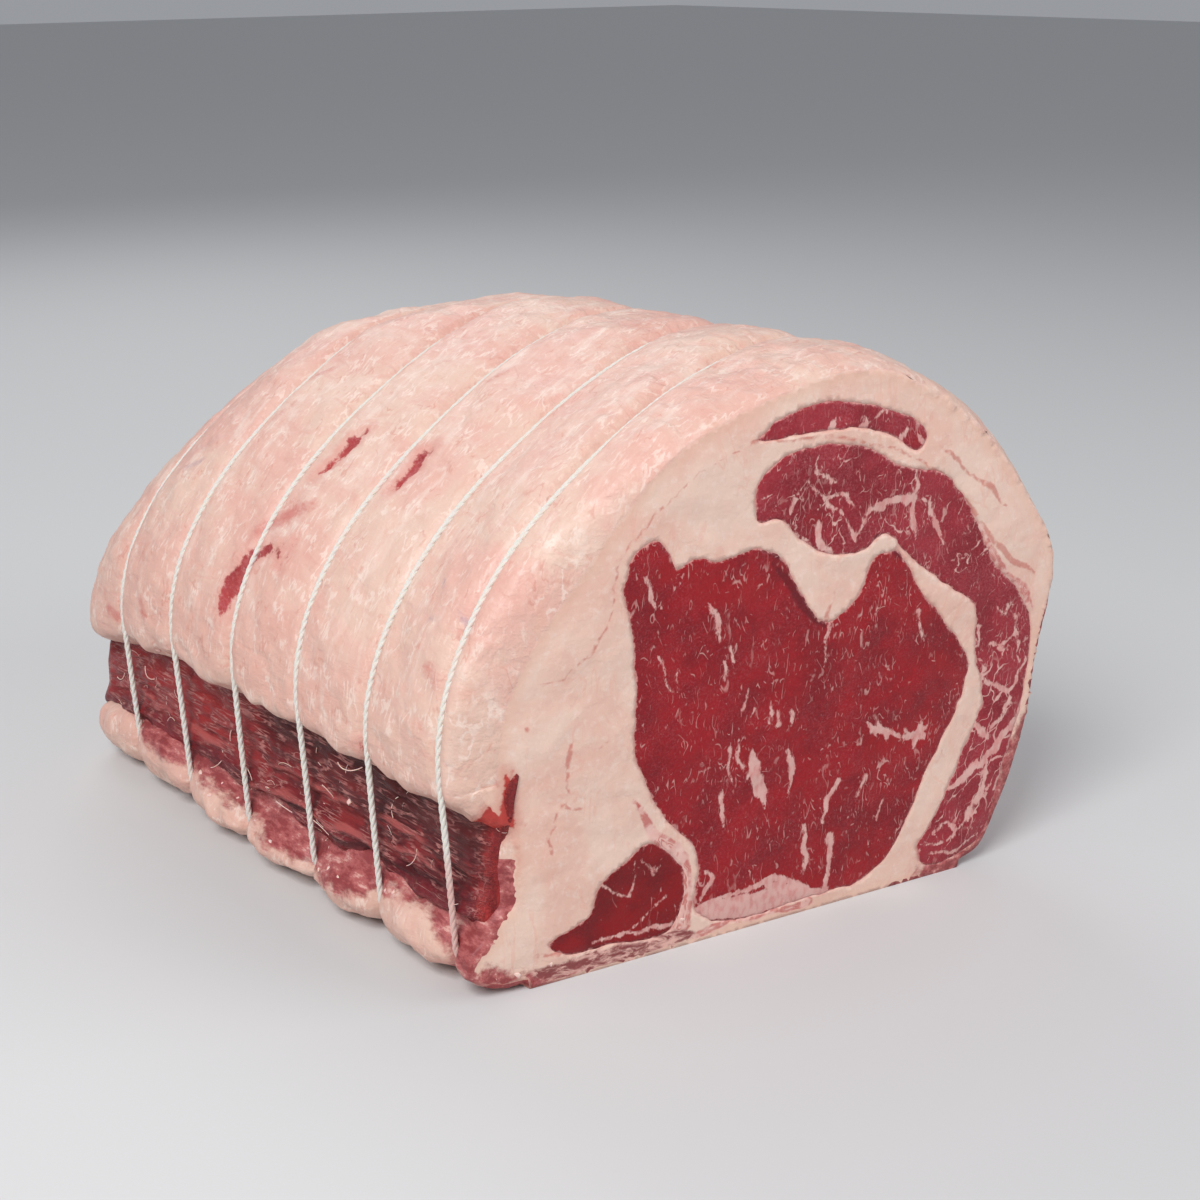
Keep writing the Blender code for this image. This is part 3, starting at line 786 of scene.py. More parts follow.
colour = marked(mixed(value_of(tree, "cut"), skin_fat, cut_fat), [
    ("fibrous", where, 1.8, 0.9, 0.5, -0.4, 0.9, bundle),
    ("sinew", where, 3.5, 2.2, 0.8, -0.8, 1, mixed(sinews, (0.24, 0.05, 0.05), (0.72, 0.42, 0.36))),
    ("seam", where, 1.4, 0.45, 0.45, -0.2, 0.6, (0.50, 0.09, 0.07)),
    ("blush", along_roll, 1.8, 2.4, 2.2, -1.2, 0.65, (0.55, 0.13, 0.11)),
    ("bruise", where, 1.4, 1.0, 1.2, -0.5, 0.6, (0.38, 0.25, 0.31)),
    ("meaty", along_roll, 4, 6.0, 2.0, -2.0, 0.95, meaty),
    ("lean_gap", along_roll, 2.4, 3.0, 4.0, 0.5, 0.55, (0.68, 0.30, 0.25)),
    ("lean_gap", stretched(where, 1, 0.6, 0.6), 2.4, 2.8, 0.6, -0.5, 1, lean["Colour"]),
    ("wedge", where, 2.4, 2.0, 3.5, 0, 0.5, (0.60, 0.22, 0.17)),
    ("wedge", where, 1.5, 1.0, 0.3, -0.3, 1, fresh),
])
pores = plus(times(cloud(where, 1.2, 4, 0.7), 0.8), times(cloud(along_roll, 5, 4, 0.55, 0.3), 3.2))
pores = minus(minus(pores, times(folds, 0.3)), 2.0)
on_cut = minus(1.0, times(value_of(tree, "cut"), 0.65))
rough = blots(where, (4, 3), 0.3, 0.7, 0.36, 0.6)
fed(shader, Base_Color=colour, Roughness=rough, Normal=bump(times(pores, on_cut), 0.5, 0.6))
fat.data.materials.append(fat_look)
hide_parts("fat")
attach(fat, "root")

# ---- The muscles on the cut ---------------------------------------------------------------
# Four muscles of raw beef run through the fat from cut to cut: the eye, the cap muscle that wraps it,
# a lens of lean in the fat above and a wedge in the corner. The fat holds each all round.
EYE_STREAKS = [
    [(62.6, 60, 0.2), (63.5, 54, 0.7), (65, 51, 0.5)],
    [(66.5, 56, 0.3), (68, 51, 1.2), (69.6, 46, 1.8), (71, 41, 1.9), (72, 37, 0.3)],
    [(68, 51, 0.8), (66, 47, 0.3)],
    [(60.3, 57, 0.7), (60.9, 48, 0.2)],
    [(78.9, 54, 0.3), (80.1, 47, 0.9), (79.9, 39, 0.2)],
    [(58.2, 46.5, 0.2), (58.1, 40.5, 0.9), (59.1, 34, 0.3)],
    [(95.6, 39.4, 0.7), (92.6, 34.5, 1.0), (90.4, 27.6, 0.2)],
    [(104.5, 39, 0.7), (102.6, 33.3, 0.4)],
    [(84.9, 28.3, 0.4), (86, 18.6, 1.0), (85.5, 13, 0.3)],
    [(93.9, 23, 0.9), (93.5, 10, 0.7), (92.2, 4, 1.2)],
    [(104, 55.5, 0.3), (107, 53, 1.1), (110, 52.3, 1.3), (113, 51.5, 0.6), (116, 49, 0.5), (119, 48, 0.9),
     (121.8, 48.5, 1.2)],
    [(106, 53, 0.8), (107.5, 49.5, 0.2)],
    [(110, 52, 1.0), (112, 48, 0.2)],
    [(108.5, 52.5, 0.8), (108, 56, 0.2)],
    [(119, 48, 0.8), (117, 51.5, 0.2)],
    [(121.6, 48, 1.1), (120.6, 43.5, 0.2)],
    [(121.8, 48, 0.9), (123, 53.5, 0.2)],
    [(124, 47, 0.7), (122, 48, 0.9), (126, 51, 0.2)],
    [(72.7, 68.5, 0.3), (72.9, 63.2, 0.6)],
    [(74.9, 66.3, 0.3), (75.4, 62.1, 0.8)],
    [(79.3, 64.4, 0.8), (79.5, 61.2, 0.3)],
    [(35.5, 111.3, 0.3), (36.7, 105.7, 0.6), (38, 102, 0.2)],
    [(55.1, 97, 0.6), (56.8, 89.5, 0.4)],
    [(52.5, 100, 0.5), (54, 98, 0.8)],
    [(59.8, 87.8, 0.3), (60.7, 83.6, 0.6)],
    [(57.8, 83.7, 0.4), (58.2, 77.9, 0.4)],
    [(118.8, 87.1, 0.5), (120, 79.7, 0.3), (122, 77, 0.3)],
    [(39.2, 88.4, 0.3), (42.7, 77.7, 0.3)],
    [(44.9, 84, 0.2), (44.5, 77.3, 0.2)],
    [(66.7, 65.7, 0.3), (67.9, 67.8, 0.1)],
    [(90.5, 91, 0.4), (88.9, 84, 0.25), (89, 76, 0.1)],
    [(51, 10, 1.2), (58, 12, 0.8), (66, 12.5, 0.7), (76, 14, 1.2), (81, 11.5, 0.9), (88, 6.5, 1.2)],
    [(74, 12, 1.1), (83, 9, 1.6), (89, 5, 1.6)],
    [(52, 9, 2.2), (60, 8.2, 3.2), (70, 7.6, 3.6), (80, 6.4, 3.4), (90, 4.5, 2.4)],
    [(66, 74, 0.2), (64, 68, 0.3)],
    [(112, 30, 0.3), (110, 24, 0.4)],
    [(54, 22, 0.6), (56, 19, 0.8), (52, 13, 0.3)],
]
CAP_STREAKS = [
    [(96.5, 112.6, 0.4), (101.2, 118.6, 0.7), (106, 120.6, 0.9), (115, 119.9, 1.0)],
    [(115.1, 119.9, 0.8), (116, 124.2, 0.5), (113.6, 130.6, 0.3)],
    [(115.1, 119.9, 0.6), (114.8, 114.3, 0.7), (116.6, 108.3, 0.4)],
    [(117.6, 120.6, 0.5), (123.6, 110.6, 0.9), (125.9, 105.7, 0.4)],
    [(81, 130.3, 0.2), (86, 125.2, 0.5), (90.9, 124.5, 0.7), (96, 120.5, 0.3)],
    [(86, 125.2, 0.4), (93.8, 117.5, 0.3), (96.5, 112.6, 0.5)],
    [(83.7, 135.2, 0.3), (83.3, 131.5, 0.5), (90.7, 128.9, 0.3)],
    [(77.6, 125.4, 0.8), (76.6, 121.2, 0.4)],
    [(74.9, 118.2, 0.6), (81.8, 112.8, 0.5)],
    [(85.2, 116.6, 1.3), (86.7, 112, 0.9), (90.6, 108, 0.8)],
    [(140, 63, 0.9), (147, 59, 0.5), (154, 55, 0.8), (159, 64, 0.5)],
    [(138, 59, 1.0), (141, 49, 0.9), (145, 43, 0.9), (148, 42, 0.4)],
    [(149, 44, 0.6), (155, 53, 0.6)],
    [(161, 60, 0.6), (158, 46, 1.1), (150, 37, 1.3), (141, 31, 1.4), (135, 28, 0.8)],
    [(156, 36, 0.9), (152, 24, 0.7)],
    [(148, 34, 0.6), (146, 25, 0.8), (143, 18, 0.6), (138, 13, 0.4)],
    [(129, 15, 0.4), (135, 16.5, 0.6), (138, 13, 0.5), (133, 10.5, 0.5), (128, 12, 0.3)],
    [(129, 7, 0.5), (139, 6, 0.6), (146, 10, 0.6)],
    [(137, 80, 0.4), (141, 77, 0.5), (141, 73, 0.4), (138, 72, 0.6)],
    [(153, 79, 0.4), (155, 71, 0.5), (156, 64, 0.4)],
    [(148, 83, 0.3), (150, 80, 0.4), (151, 84, 0.3)],
    [(146, 72, 0.5), (149, 70, 0.5), (157, 74, 0.3)],
    [(142, 67, 0.3), (144, 63, 0.6), (143, 60, 0.3)],
    [(145, 20, 0.7), (149, 26, 0.5)],
]
TOP_STREAKS = [
    [(88, 142.6, 1.2), (89, 145.5, 0.3)],
    [(97, 141.2, 1.3), (98, 144.5, 0.3)],
    [(101, 144.5, 0.2), (105, 145.5, 0.6)],
    [(110, 138, 0.8), (112, 140.5, 0.3)],
    [(114.5, 138, 0.5), (117, 135, 0.6)],
]
CORNER_STREAKS = [
    [(22, 27, 0.45), (26, 23, 0.25), (31, 20.5, 0.3), (33, 25, 0.2), (32, 30, 0.1)],
    [(34, 30, 0.1), (37.5, 28, 0.2), (38, 25, 0.15), (40, 27.5, 0.1)],
    [(31, 10, 0.15), (37, 14, 0.25), (42, 17.5, 0.15)],
    [(20, 9, 0.3), (27, 9.5, 0.5), (33, 8.5, 0.7), (43, 8, 0.8)],
]
STREAKS = {"rib_eye": EYE_STREAKS, "rib_cap": CAP_STREAKS, "top_muscle": TOP_STREAKS,
           "corner_muscle": CORNER_STREAKS}
# Where the lean is broken into lobes by fat, and where it is wet and bright or dark, (x, z, half-width)
LOBED = [(147, 58, 7), (147, 46, 9), (146, 32, 9), (142, 22, 7)]
WET_BRIGHT = [
    [(40, 112, 2), (48, 109, 3), (57, 103, 4), (68, 103, 3)],
    [(66, 58, 1.5), (67, 52, 2.5)],
    [(84, 119, 2), (86, 117, 1)],
    [(126, 70, 1.5), (127, 69, 1.5)],
    [(105, 50, 2), (122, 46, 2)],
    [(54, 12, 2), (74, 15, 2), (90, 8, 3)],
    [(115, 137, 2), (117, 136, 2)],
]
SHADED = [
    [(72, 108.5, 0.6), (79, 98.5, 1.0), (85, 91.5, 1.2), (88, 88.5, 0.5)],
    [(103.6, 111, 1.0), (108.7, 107.6, 1.2), (114, 102.6, 0.6)],
    [(44, 113, 0.8), (50, 115, 0.7), (58, 113, 0.6), (67, 114.5, 0.6), (74, 110, 0.5)],
]
both = np.concatenate([near_at, far_at])
far_numbers = np.arange(len(far_at)) + len(near_at)
on_lean = {
    "lobed": beside(flat_cuts, LOBED),
    "wet": nearest_route(flat_cuts, WET_BRIGHT),
    "shaded": nearest_route(wobbly, SHADED),
    "edge": np.concatenate([near_edge, far_edge]),
}
curly = wobbly + 1.5 * two_ripples(level, 5, 9, 70)
muscles = {}
for i, (name, streaks) in enumerate(STREAKS.items()):
    faces = [
        near_triangles[near_label == i],
        far_numbers[far_triangles[far_label == i][:, ::-1]],
        tube(near_loops[i + 1], far_numbers[far_loops[i + 1]]),
    ]
    values = {"streak": nearest_route(curly if name == "rib_cap" else wobbly, streaks), **on_lean}
    muscles[name] = made_piece(name + "_lean", both, faces, values, 2)

# Fine marbling: hair-thin pale lines, mostly upright, that curl, break off and crowd in places
def swayed(where, size, detail, reach):
    """The places moved about by noise of this size, by up to half of the reach, in millimetres."""
    noise_inputs = {"Vector": where, "Scale": 1 / (size * MM), "Detail": detail}
    noise_colour = add_node(where.id_data, "TexNoise", noise_inputs).outputs["Color"]
    off = vector_sums("SUBTRACT", noise_colour, (0.5, 0.5, 0.5))
    return vector_sums("ADD", where, vector_sums("MULTIPLY", off, tuple(a * MM for a in reach)))


hair_inputs = {"Vector": ("Vector", None), "Density": ("Float", 0.5)}
hair_tree, hair_in, hair_out = new_group("fine_marbling", hair_inputs, {"Mask": "Float"})
bent = swayed(hair_in["Vector"], 8, 1.0, (3.5, 0, 2))
crowd = minus(blots(hair_in["Vector"], (14, 3), 0.34, 0.66, 0.07, -0.05), times(hair_in["Density"], 0.1))
hairs = 0.0
LAYERS = ((0.22, 2.6, 0.028, 2.8), (0.6, 4.0, 0.018, 2.2), (0.3, 1.2, 0.045, 1.5))
for upright, size, width, gaps in LAYERS:
    lines = creases(stretched(bent, 1, 1, upright), size, width, 0.0)
    lasts = minus(cloud(stretched(bent, 1, 1, 0.6), gaps, 1.0), crowd)
    hairs = sums("MAXIMUM", hairs, times(lines, between(lasts, 0.57, 0.66)))
faint = blots(hair_in["Vector"], (5, 3), 0.38, 0.66, 0.3, 1.0)
hair_tree.links.new(times(hairs, faint), hair_out["Mask"])

# Coarse marbling: a net of fat round bundles of lean, thick in some places and broken off in others
net_inputs = {
    "Vector": ("Vector", None), "Cell": ("Float", 5.0), "Width": ("Float", 0.05), "Breaks": ("Float", 0.5),
}
net_tree, net_in, net_out = new_group("net_of_fat", net_inputs, {"Mask": "Float"})
bent = swayed(net_in["Vector"], 4.5, 2.0, (5, 0, 5))
tilted = add_node(net_tree, "Mapping", {"Vector": bent, "Rotation": (0, math.radians(-24), 0)}).outputs[0]
drawn = stretched(tilted, 1.15, 1, 0.5)
per_cell = sums("DIVIDE", 1 / MM, net_in["Cell"])
cells = add_node(net_tree, "TexVoronoi", {"Vector": drawn, "Scale": per_cell}, feature="DISTANCE_TO_EDGE")
thick = times(net_in["Width"], blots(bent, (5, 2), 0.35, 0.7, 0.45, 1.7))
gone = blots(bent, (3.2, 2), minus(net_in["Breaks"], 0.08), net_in["Breaks"])
edge = minus(thick, cells.outputs["Distance"])
net = between(plus(edge, waver(bent, 1.0, 0.03, 2)), 0.0, 0.03)
net_tree.links.new(times(net, gone), net_out["Mask"])


def lean_material(name, density, net, haze, tones):
    """Moist lean with marbling: how dense its fine lines are, its net as (cell, width, breaks), its tones."""
    look, tree, shader, where = new_material(
        name, Specular_IOR_Level=0.28, Coat_Weight=0.07, Coat_Roughness=0.2)
    flat = stretched(where, 1, 0.02, 1)
    lean = raw_lean(flat, haze, *tones)
    bright = mixed(cloud(stretched(flat, 1, 1, 0.2), 1.2, 3, 0.6), (0.20, 0.002, 0.005), (0.42, 0.010, 0.014))
    colour = marked(lean["Colour"], [
        ("wet", flat, 5, 6.0, 2.5, -2.5, 0.6, bright),
        ("shaded", flat, 2, 0.8, 0.8, -0.4, 0.7, (0.10, 0.003, 0.008)),
    ])
    marks = times(use_group(hair_tree, {"Vector": flat, "Density": density})[0], 0.68)
    if net:
        lobed = between(value_of(tree, "lobed"), 3, -2)
        marks = times(marks, minus(1.0, times(lobed, 0.6)))
        for share, (cell, width, breaks) in zip((minus(1.0, lobed), lobed), net):
            drawn = use_group(net_tree, {"Vector": flat, "Cell": cell, "Width": width, "Breaks": breaks})[0]
            marks = sums("MAXIMUM", marks, times(drawn, share))
    grained = stretched(flat, 1, 1, 0.45)
    marks = sums("MAXIMUM", marks, frayed("streak", grained, 1.3, 1.3, 0.3, -0.25, 1))
    pale = mixed(blots(grained, (1.6, 3), 0.4, 0.66), (0.76, 0.47, 0.42), (0.70, 0.33, 0.30))
    colour = mixed(times(marks, 0.85), colour, pale)
    colour = marked(colour, [("edge", flat, 1.5, 1.5, 0.5, -0.2, 0.8, (0.66, 0.30, 0.27))])
    height = minus(lean["Height"], times(marks, 0.35))
    fed(shader, Base_Color=colour, Roughness=lean["Roughness"], Normal=bump(height, 0.45, 0.4))
    return look


EYE_TONES = ((0.20, 0.003, 0.008), (0.30, 0.005, 0.011), (0.44, 0.014, 0.022))
CAP_TONES = ((0.21, 0.008, 0.016), (0.31, 0.018, 0.030), (0.46, 0.050, 0.060))
CORNER_TONES = ((0.15, 0.002, 0.004), (0.24, 0.003, 0.006), (0.36, 0.009, 0.013))
CAP_NET = ((8.0, 0.020, 0.54), (5.6, 0.042, 0.33))
LEAN_LOOKS = {
    "rib_eye": lean_material("eye_of_lean", 0.15, None, 0.22, EYE_TONES),
    "rib_cap": lean_material("marbled_lean", 0.3, CAP_NET, 0.38, CAP_TONES),
    "top_muscle": lean_material("lens_of_lean", 0.1, None, 0.5, CAP_TONES),
    "corner_muscle": lean_material("corner_lean", -0.6, None, 0.05, CORNER_TONES),
}
for name, piece in muscles.items():
    piece.data.materials.append(LEAN_LOOKS[name])
    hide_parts(name)
    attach(piece, "root")

# ---- The bare muscle on the left side ------------------------------------------------------
# A thin dark muscle between the cap and the lip, bared along the whole side. Its fibres run with the
# roll, torn and stringy. The fat grips it above and below, and the strings pass in front of it.
SIDE_MUSCLE = [
    (-9.6, 52), (-9.4, 44), (-9.4, 32), (-9.8, 22), (-5, 18), (-2.7, 26), (-2.7, 45), (-2, 56), (-0.9, 64.5),
    (-3, 62), (-6, 57),
]
# Ridges of fibre on the bare muscle, raised in the relief and painted a lighter red: pale strands, with a
# painted highlight on their crests
RIDGES = [
    [(28, 23, 0.8), (10, 27, 1.0), (-5, 26, 1.2), (-20, 27, 1.1), (-34, 27, 0.7)],
    [(-36, 37, 1.0), (-47, 36, 1.2), (-62, 36, 0.7)],
    [(72, 31, 0.8), (56, 29, 1.2), (42, 30, 0.8)],
    [(19, 34, 0.6), (1, 35, 1.0), (-13, 33, 0.8), (-25, 35, 0.5)],
    [(100, 34, 0.8), (88, 30, 1.0), (78, 31, 0.6)],
    [(-30, 31, 0.6), (-45, 30, 0.8), (-70, 31, 0.5)],
]
# A crease low on the band: carved in, and painted near-black as the shade that falls in it
SHADED_CREASE = [(24, 20, 0.6), (2, 24, 0.9), (-20, 22, 1.0), (-40, 24, 1.1), (-64, 28, 0.9), (-76, 32, 0.6)]


def side_step(place):
    return 0.7 if place[0] < -8 else 2.2


band = turned_right(curve_through(SIDE_MUSCLE, side_step))
band_out = outward(band)
FAR_PROUD, END_ROUND = 0.4, 9.0
band_rows = 215
share = np.linspace(0, 1, band_rows)[:, None]
band_x = np.tile(band[:, 0], (band_rows, 1))
band_z = np.tile(band[:, 1], (band_rows, 1))


def near_end_y(x, z):
    """The near end: flush with the fat in the thin tip at the top, and hollow below it."""
    return cut_y(x) - 0.8 + 3.2 * (1 - eased(z, 42, 55))


def rounded_end(x, off_end):
    """How far the bared side draws in near the cut, in mm."""
    return 3.4 * (1 - eased(off_end, 0, END_ROUND)) * eased(-x, 3, 9)


band_y = near_end_y(band_x, band_z) * (1 - share) + (far_y(band_x) + FAR_PROUD) * share

fibre = np.stack([band_x / 2.4, band_y / 16.0, band_z / 2.4], -1).reshape(-1, 3)
lumps = np.stack([band_x, band_y * 0.6, band_z], -1).reshape(-1, 3)
relief = 1.4 * ripples(fibre, 1.0, 3) + 2.0 * ripples(lumps, 11, 3)
side_flat = np.stack([band_y.ravel() - CENTRE_Y, band_z.ravel()], 1)
wavy = side_flat + 1.2 * two_ripples(lumps, 8)
ridge = nearest_route(wavy, RIDGES)
crease = beside(wavy, SHADED_CREASE)
relief += 1.3 * (1 - eased(ridge, -0.8, 1.4)) - 1.8 * (1 - eased(crease, -0.5, 2.2))
facing = eased(-band_x.ravel(), 6, 9)
under_cap = 2.2 * eased(band_z, 40, 53)
ends = np.minimum(eased(share, 0, 0.02), eased(1 - share, 0, 0.02)) * np.ones_like(band_x)
relief = (relief * facing).reshape(band_x.shape) * ends
relief -= under_cap * facing.reshape(band_x.shape)
off_end = band_y - cut_y(band_x)
lower_shelf = 1.3 * eased(band_z, 32, 23) * eased(-band_x, 6, 9)
band_x = band_x + band_out[:, 0] * relief - lower_shelf + rounded_end(band_x, off_end)
band_z = band_z + band_out[:, 1] * relief
side_x, side_z = shaped(band_x, band_y, band_z)
side_skin = np.stack([side_x - CENTRE_X, band_y - CENTRE_Y, side_z], -1)
side_count = len(band)
side_number = np.arange(band_rows * side_count).reshape(band_rows, side_count)
near_end, near_end_triangles, _, _ = mesh_face(np.stack([band_x[0], band_z[0]], 1), {}, 1.0, 1.0)
far_ends, far_end_triangles, _, _ = mesh_face(np.stack([band_x[-1], band_z[-1]], 1), {}, 1.0, 1.0)
near_end_at = on_plane(near_end, near_end_y(*near_end.T), 0)
far_end_y = far_y(far_ends[:, 0])
far_end_shaped = np.stack(shaped(far_ends[:, 0], far_end_y, far_ends[:, 1]), 1)
far_end_at = on_plane(far_end_shaped, far_end_y + FAR_PROUD, 0)
near_numbers = np.arange(len(near_end)) + side_number.size
far_end_numbers = np.arange(len(far_ends)) + side_number.size + len(near_end)
near_numbers[:side_count] = side_number[0]
far_end_numbers[:side_count] = side_number[-1]
side_points = np.concatenate([side_skin.reshape(-1, 3), near_end_at, far_end_at])
side_faces = [
    tube(*side_number),
    near_numbers[near_end_triangles],
    far_end_numbers[far_end_triangles[:, ::-1]],
]
end_count = len(near_end) + len(far_ends)
side_values = {
    label: np.concatenate([along.ravel(), np.full(end_count, at_ends)])
    for label, along, at_ends in (
        ("ridge", ridge, 9.0), ("crease", crease, 9.0), ("height", band_z, 15.0), ("from_cut", off_end, 0.0))
}
side_muscle = made_piece("side_muscle_lean", side_points, side_faces, side_values, 3)
side_look, tree, shader, where = new_material(
    "stringy_lean", Specular_IOR_Level=0.3, Coat_Weight=0.12, Coat_Roughness=0.22)
threads = stretched(where, 1, 0.06, 1)
patchy = stretched(where, 1, 0.4, 1)
dry = raw_lean(threads, 0.12, (0.045, 0.003, 0.005), (0.15, 0.010, 0.013), (0.34, 0.055, 0.052))
moist = raw_lean(patchy, 0.12, (0.09, 0.005, 0.009), (0.20, 0.016, 0.022), (0.38, 0.07, 0.07))
wet_raw = raw_lean(
    stretched(where, 2, 2, 0.6), 0.1, (0.13, 0.004, 0.006), (0.36, 0.02, 0.02), (0.60, 0.09, 0.06))
axes = add_node(tree, "SeparateXYZ", {0: where}).outputs
fresh = blots(patchy, (9, 4, 0.65), 0.46, 0.6, 0, 0.8)
colour = mixed(fresh, dry["Colour"], mixed(0.5, dry["Colour"], (0.40, 0.035, 0.035)))
far_part = between(plus(axes[1], waver(where, 12, 20 * MM)), 15 * MM, 55 * MM, 0, 0.75)
colour = mixed(far_part, colour, mixed(cloud(patchy, 6, 4, 0.65), (0.10, 0.006, 0.008), (0.46, 0.04, 0.04)))
# Painted shade under the cap's edge: the top strip of the band, on its near half, is darkened almost to black
shade_under_cap = between(plus(value_of(tree, "height"), waver(threads, 6, 5)), 37, 44, 0, 0.7)
shade_under_cap = times(shade_under_cap, between(axes[1], 40 * MM, 5 * MM))
colour = mixed(shade_under_cap, colour, (0.055, 0.008, 0.008))
loose = creases(stretched(where, 1, 0.09, 1), 1.5, 0.06, 3)
loose = times(loose, blots(where, (7, 3), 0.42, 0.6, 0, 0.75))
colour = marked(colour, [("height", where, 8, 8, 31, 24, 1, moist["Colour"])])
colour = mixed(loose, colour, (0.50, 0.20, 0.18))
colour = marked(colour, [
    # pale strands on the ridges, with a painted highlight on their crests
    ("ridge", threads, 1.6, 1.8, 0.4, -0.8, 0.65, (0.46, 0.11, 0.10)),
    # painted shade in the crease
    ("crease", threads, 2, 1, 1.2, -0.8, 0.8, (0.05, 0.004, 0.006)),
    ("from_cut", where, 4, 3, 6, 1, 1, wet_raw["Colour"]),
])
height = plus(dry["Height"], loose)
fed(shader, Base_Color=colour, Roughness=dry["Roughness"], Normal=bump(height, 0.8, 0.6))
side_muscle.data.materials.append(side_look)
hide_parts("side_muscle")
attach(side_muscle, "root")

# ---- Torn threads and crumbs ---------------------------------------------------------------
# Thin white threads of torn tissue lie on the bare muscle, and small crumbs of fat hang at the ragged
# edges that the knife left. They are strewn over the pieces they lie on.
scatter_inputs = {
    "Surface": ("Geometry", None), "Amount": ("Float", None), "Thread Share": ("Float", None),
    "Smallest": ("Float", 0.5), "Largest": ("Float", 1.4), "Seed": ("Int", 3), "Look": ("Material", None),
}
scatter, given, asked = new_group("scattered_bits", scatter_inputs, {"Bits": "Geometry"}, "GeometryNodeTree")


def geometry_step(tree, kind, inputs=None, **settings):
    """The first output of a new geometry node."""
    return add_step(tree, "GeometryNode" + kind, inputs, **settings).outputs[0]


def random_value(low, high, seed):
    made = add_step(scatter, "FunctionNodeRandomValue", {2: low, 3: high, "Seed": seed}, data_type="FLOAT")
    return made.outputs[1]


def finished(shape, look, asked):
    """The shape made smooth and plain, in this look, and sent to the group's output."""
    tree = shape.id_data
    softened = geometry_step(tree, "SetShadeSmooth", {0: shape})
    realized = geometry_step(tree, "RealizeInstances", {0: softened})
    dressed = geometry_step(tree, "SetMaterial", {"Geometry": realized, "Material": look})
    tree.links.new(dressed, asked[0])


torn = geometry_step(scatter, "InputNamedAttribute", {"Name": "torn"}, data_type="FLOAT")
strewn_inputs = {"Mesh": given["Surface"], "Density": times(torn, given["Amount"]), "Seed": given["Seed"]}
strewn = add_step(scatter, "GeometryNodeDistributePointsOnFaces", strewn_inputs)
arc = geometry_step(scatter, "CurveArc", {"Resolution": 12, "Radius": 4.5 * MM, "Sweep Angle": 1.5})
thin = geometry_step(scatter, "CurvePrimitiveCircle", {"Resolution": 5, "Radius": 0.11 * MM})
thread = geometry_step(scatter, "CurveToMesh", {"Curve": arc, "Profile Curve": thin, "Fill Caps": True})
bit = geometry_step(scatter, "MeshIcoSphere", {"Radius": 0.85 * MM, "Subdivisions": 3})
lumpy = add_node(scatter, "TexNoise", {"Scale": 900.0, "Detail": 2.0})
pushed = vector_sums("SCALE", vector_sums("SUBTRACT", lumpy.outputs["Color"], (0.5, 0.5, 0.5)), 1.1 * MM)
crumb = geometry_step(scatter, "SetPosition", {"Geometry": bit, "Offset": pushed})
flat_crumb = geometry_step(scatter, "Transform", {"Geometry": crumb, "Scale": (1.3, 0.8, 0.4)})
kinds = add_step(scatter, "GeometryNodeJoinGeometry")
for kind in (flat_crumb, thread):
    scatter.links.new(geometry_step(scatter, "GeometryToInstance", {0: kind}), kinds.inputs[0])
picked = add_step(
    scatter, "FunctionNodeCompare", {0: random_value(0.0, 1.0, 5), 1: given["Thread Share"]},
    data_type="FLOAT", operation="GREATER_THAN")
turned = add_step(
    scatter, "FunctionNodeRotateRotation", {0: strewn.outputs["Rotation"]}, rotation_space="LOCAL")
spin = add_node(scatter, "CombineXYZ", {2: random_value(0.0, math.tau, 8)})
scatter.links.new(spin.outputs[0], turned.inputs[1])
grown = add_node(scatter, "MapRange", {
    "Value": random_value(0.0, 1.0, 9), "To Min": given["Smallest"], "To Max": given["Largest"]})
placed = geometry_step(scatter, "InstanceOnPoints", {
    "Points": strewn.outputs[0], "Instance": kinds.outputs[0], "Pick Instance": True,
    "Instance Index": plus(picked.outputs[0], 0.0), "Rotation": turned.outputs[0], "Scale": grown.outputs[0]})
finished(placed, given["Look"], asked)

bits_look, tree, shader, where = new_material(
    "torn_tissue", Roughness=0.45, Subsurface_Weight=0.2, Subsurface_Scale=0.001)
tissue = mixed(cloud(where, 2.5, 3, 0.7), (0.80, 0.42, 0.36), (0.93, 0.74, 0.66))
fed(shader, Base_Color=tissue, Normal=bump(cloud(where, 0.8, 3, 0.7), 0.4, 0.2))


def torn_density(points, routes):
    """1 along the routes, through space, and 0 beyond them."""
    return 1 - eased(nearest_route(points, routes), 0, 1.5)


def made_by(tree, source, values, name):
    """A new piece: the plain mesh that the node tree makes of the source, with these inputs."""
    identifiers = {item.name: item.identifier for item in tree.interface.items_tree}
    step = source.modifiers.new(tree.name, "NODES")
    step.node_group = tree
    for label, value in values.items():
        step[identifiers[label]] = value
    mesh = bpy.data.meshes.new_from_object(source.evaluated_get(bpy.context.evaluated_depsgraph_get()))
    source.modifiers.remove(step)
    mesh.name = name
    return in_scene(name, mesh)


def strew(name, surface, torn_values, amount, thread_share, smallest, largest, seed):
    """Bits strewn over a piece, as a piece of their own."""
    layer = surface.data.attributes.new("torn", "FLOAT", "POINT")
    layer.data.foreach_set("value", np.asarray(torn_values, np.float32))
    piece = made_by(scatter, surface, {
        "Amount": amount, "Thread Share": thread_share, "Smallest": smallest, "Largest": largest,
        "Seed": seed, "Look": bits_look,
    }, name)
    surface.data.attributes.remove(surface.data.attributes["torn"])
    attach(piece, "root")


def seen_points(piece):
    flat = np.empty(3 * len(piece.data.vertices))
    piece.data.vertices.foreach_get("co", flat)
    return flat.reshape(-1, 3) / MM


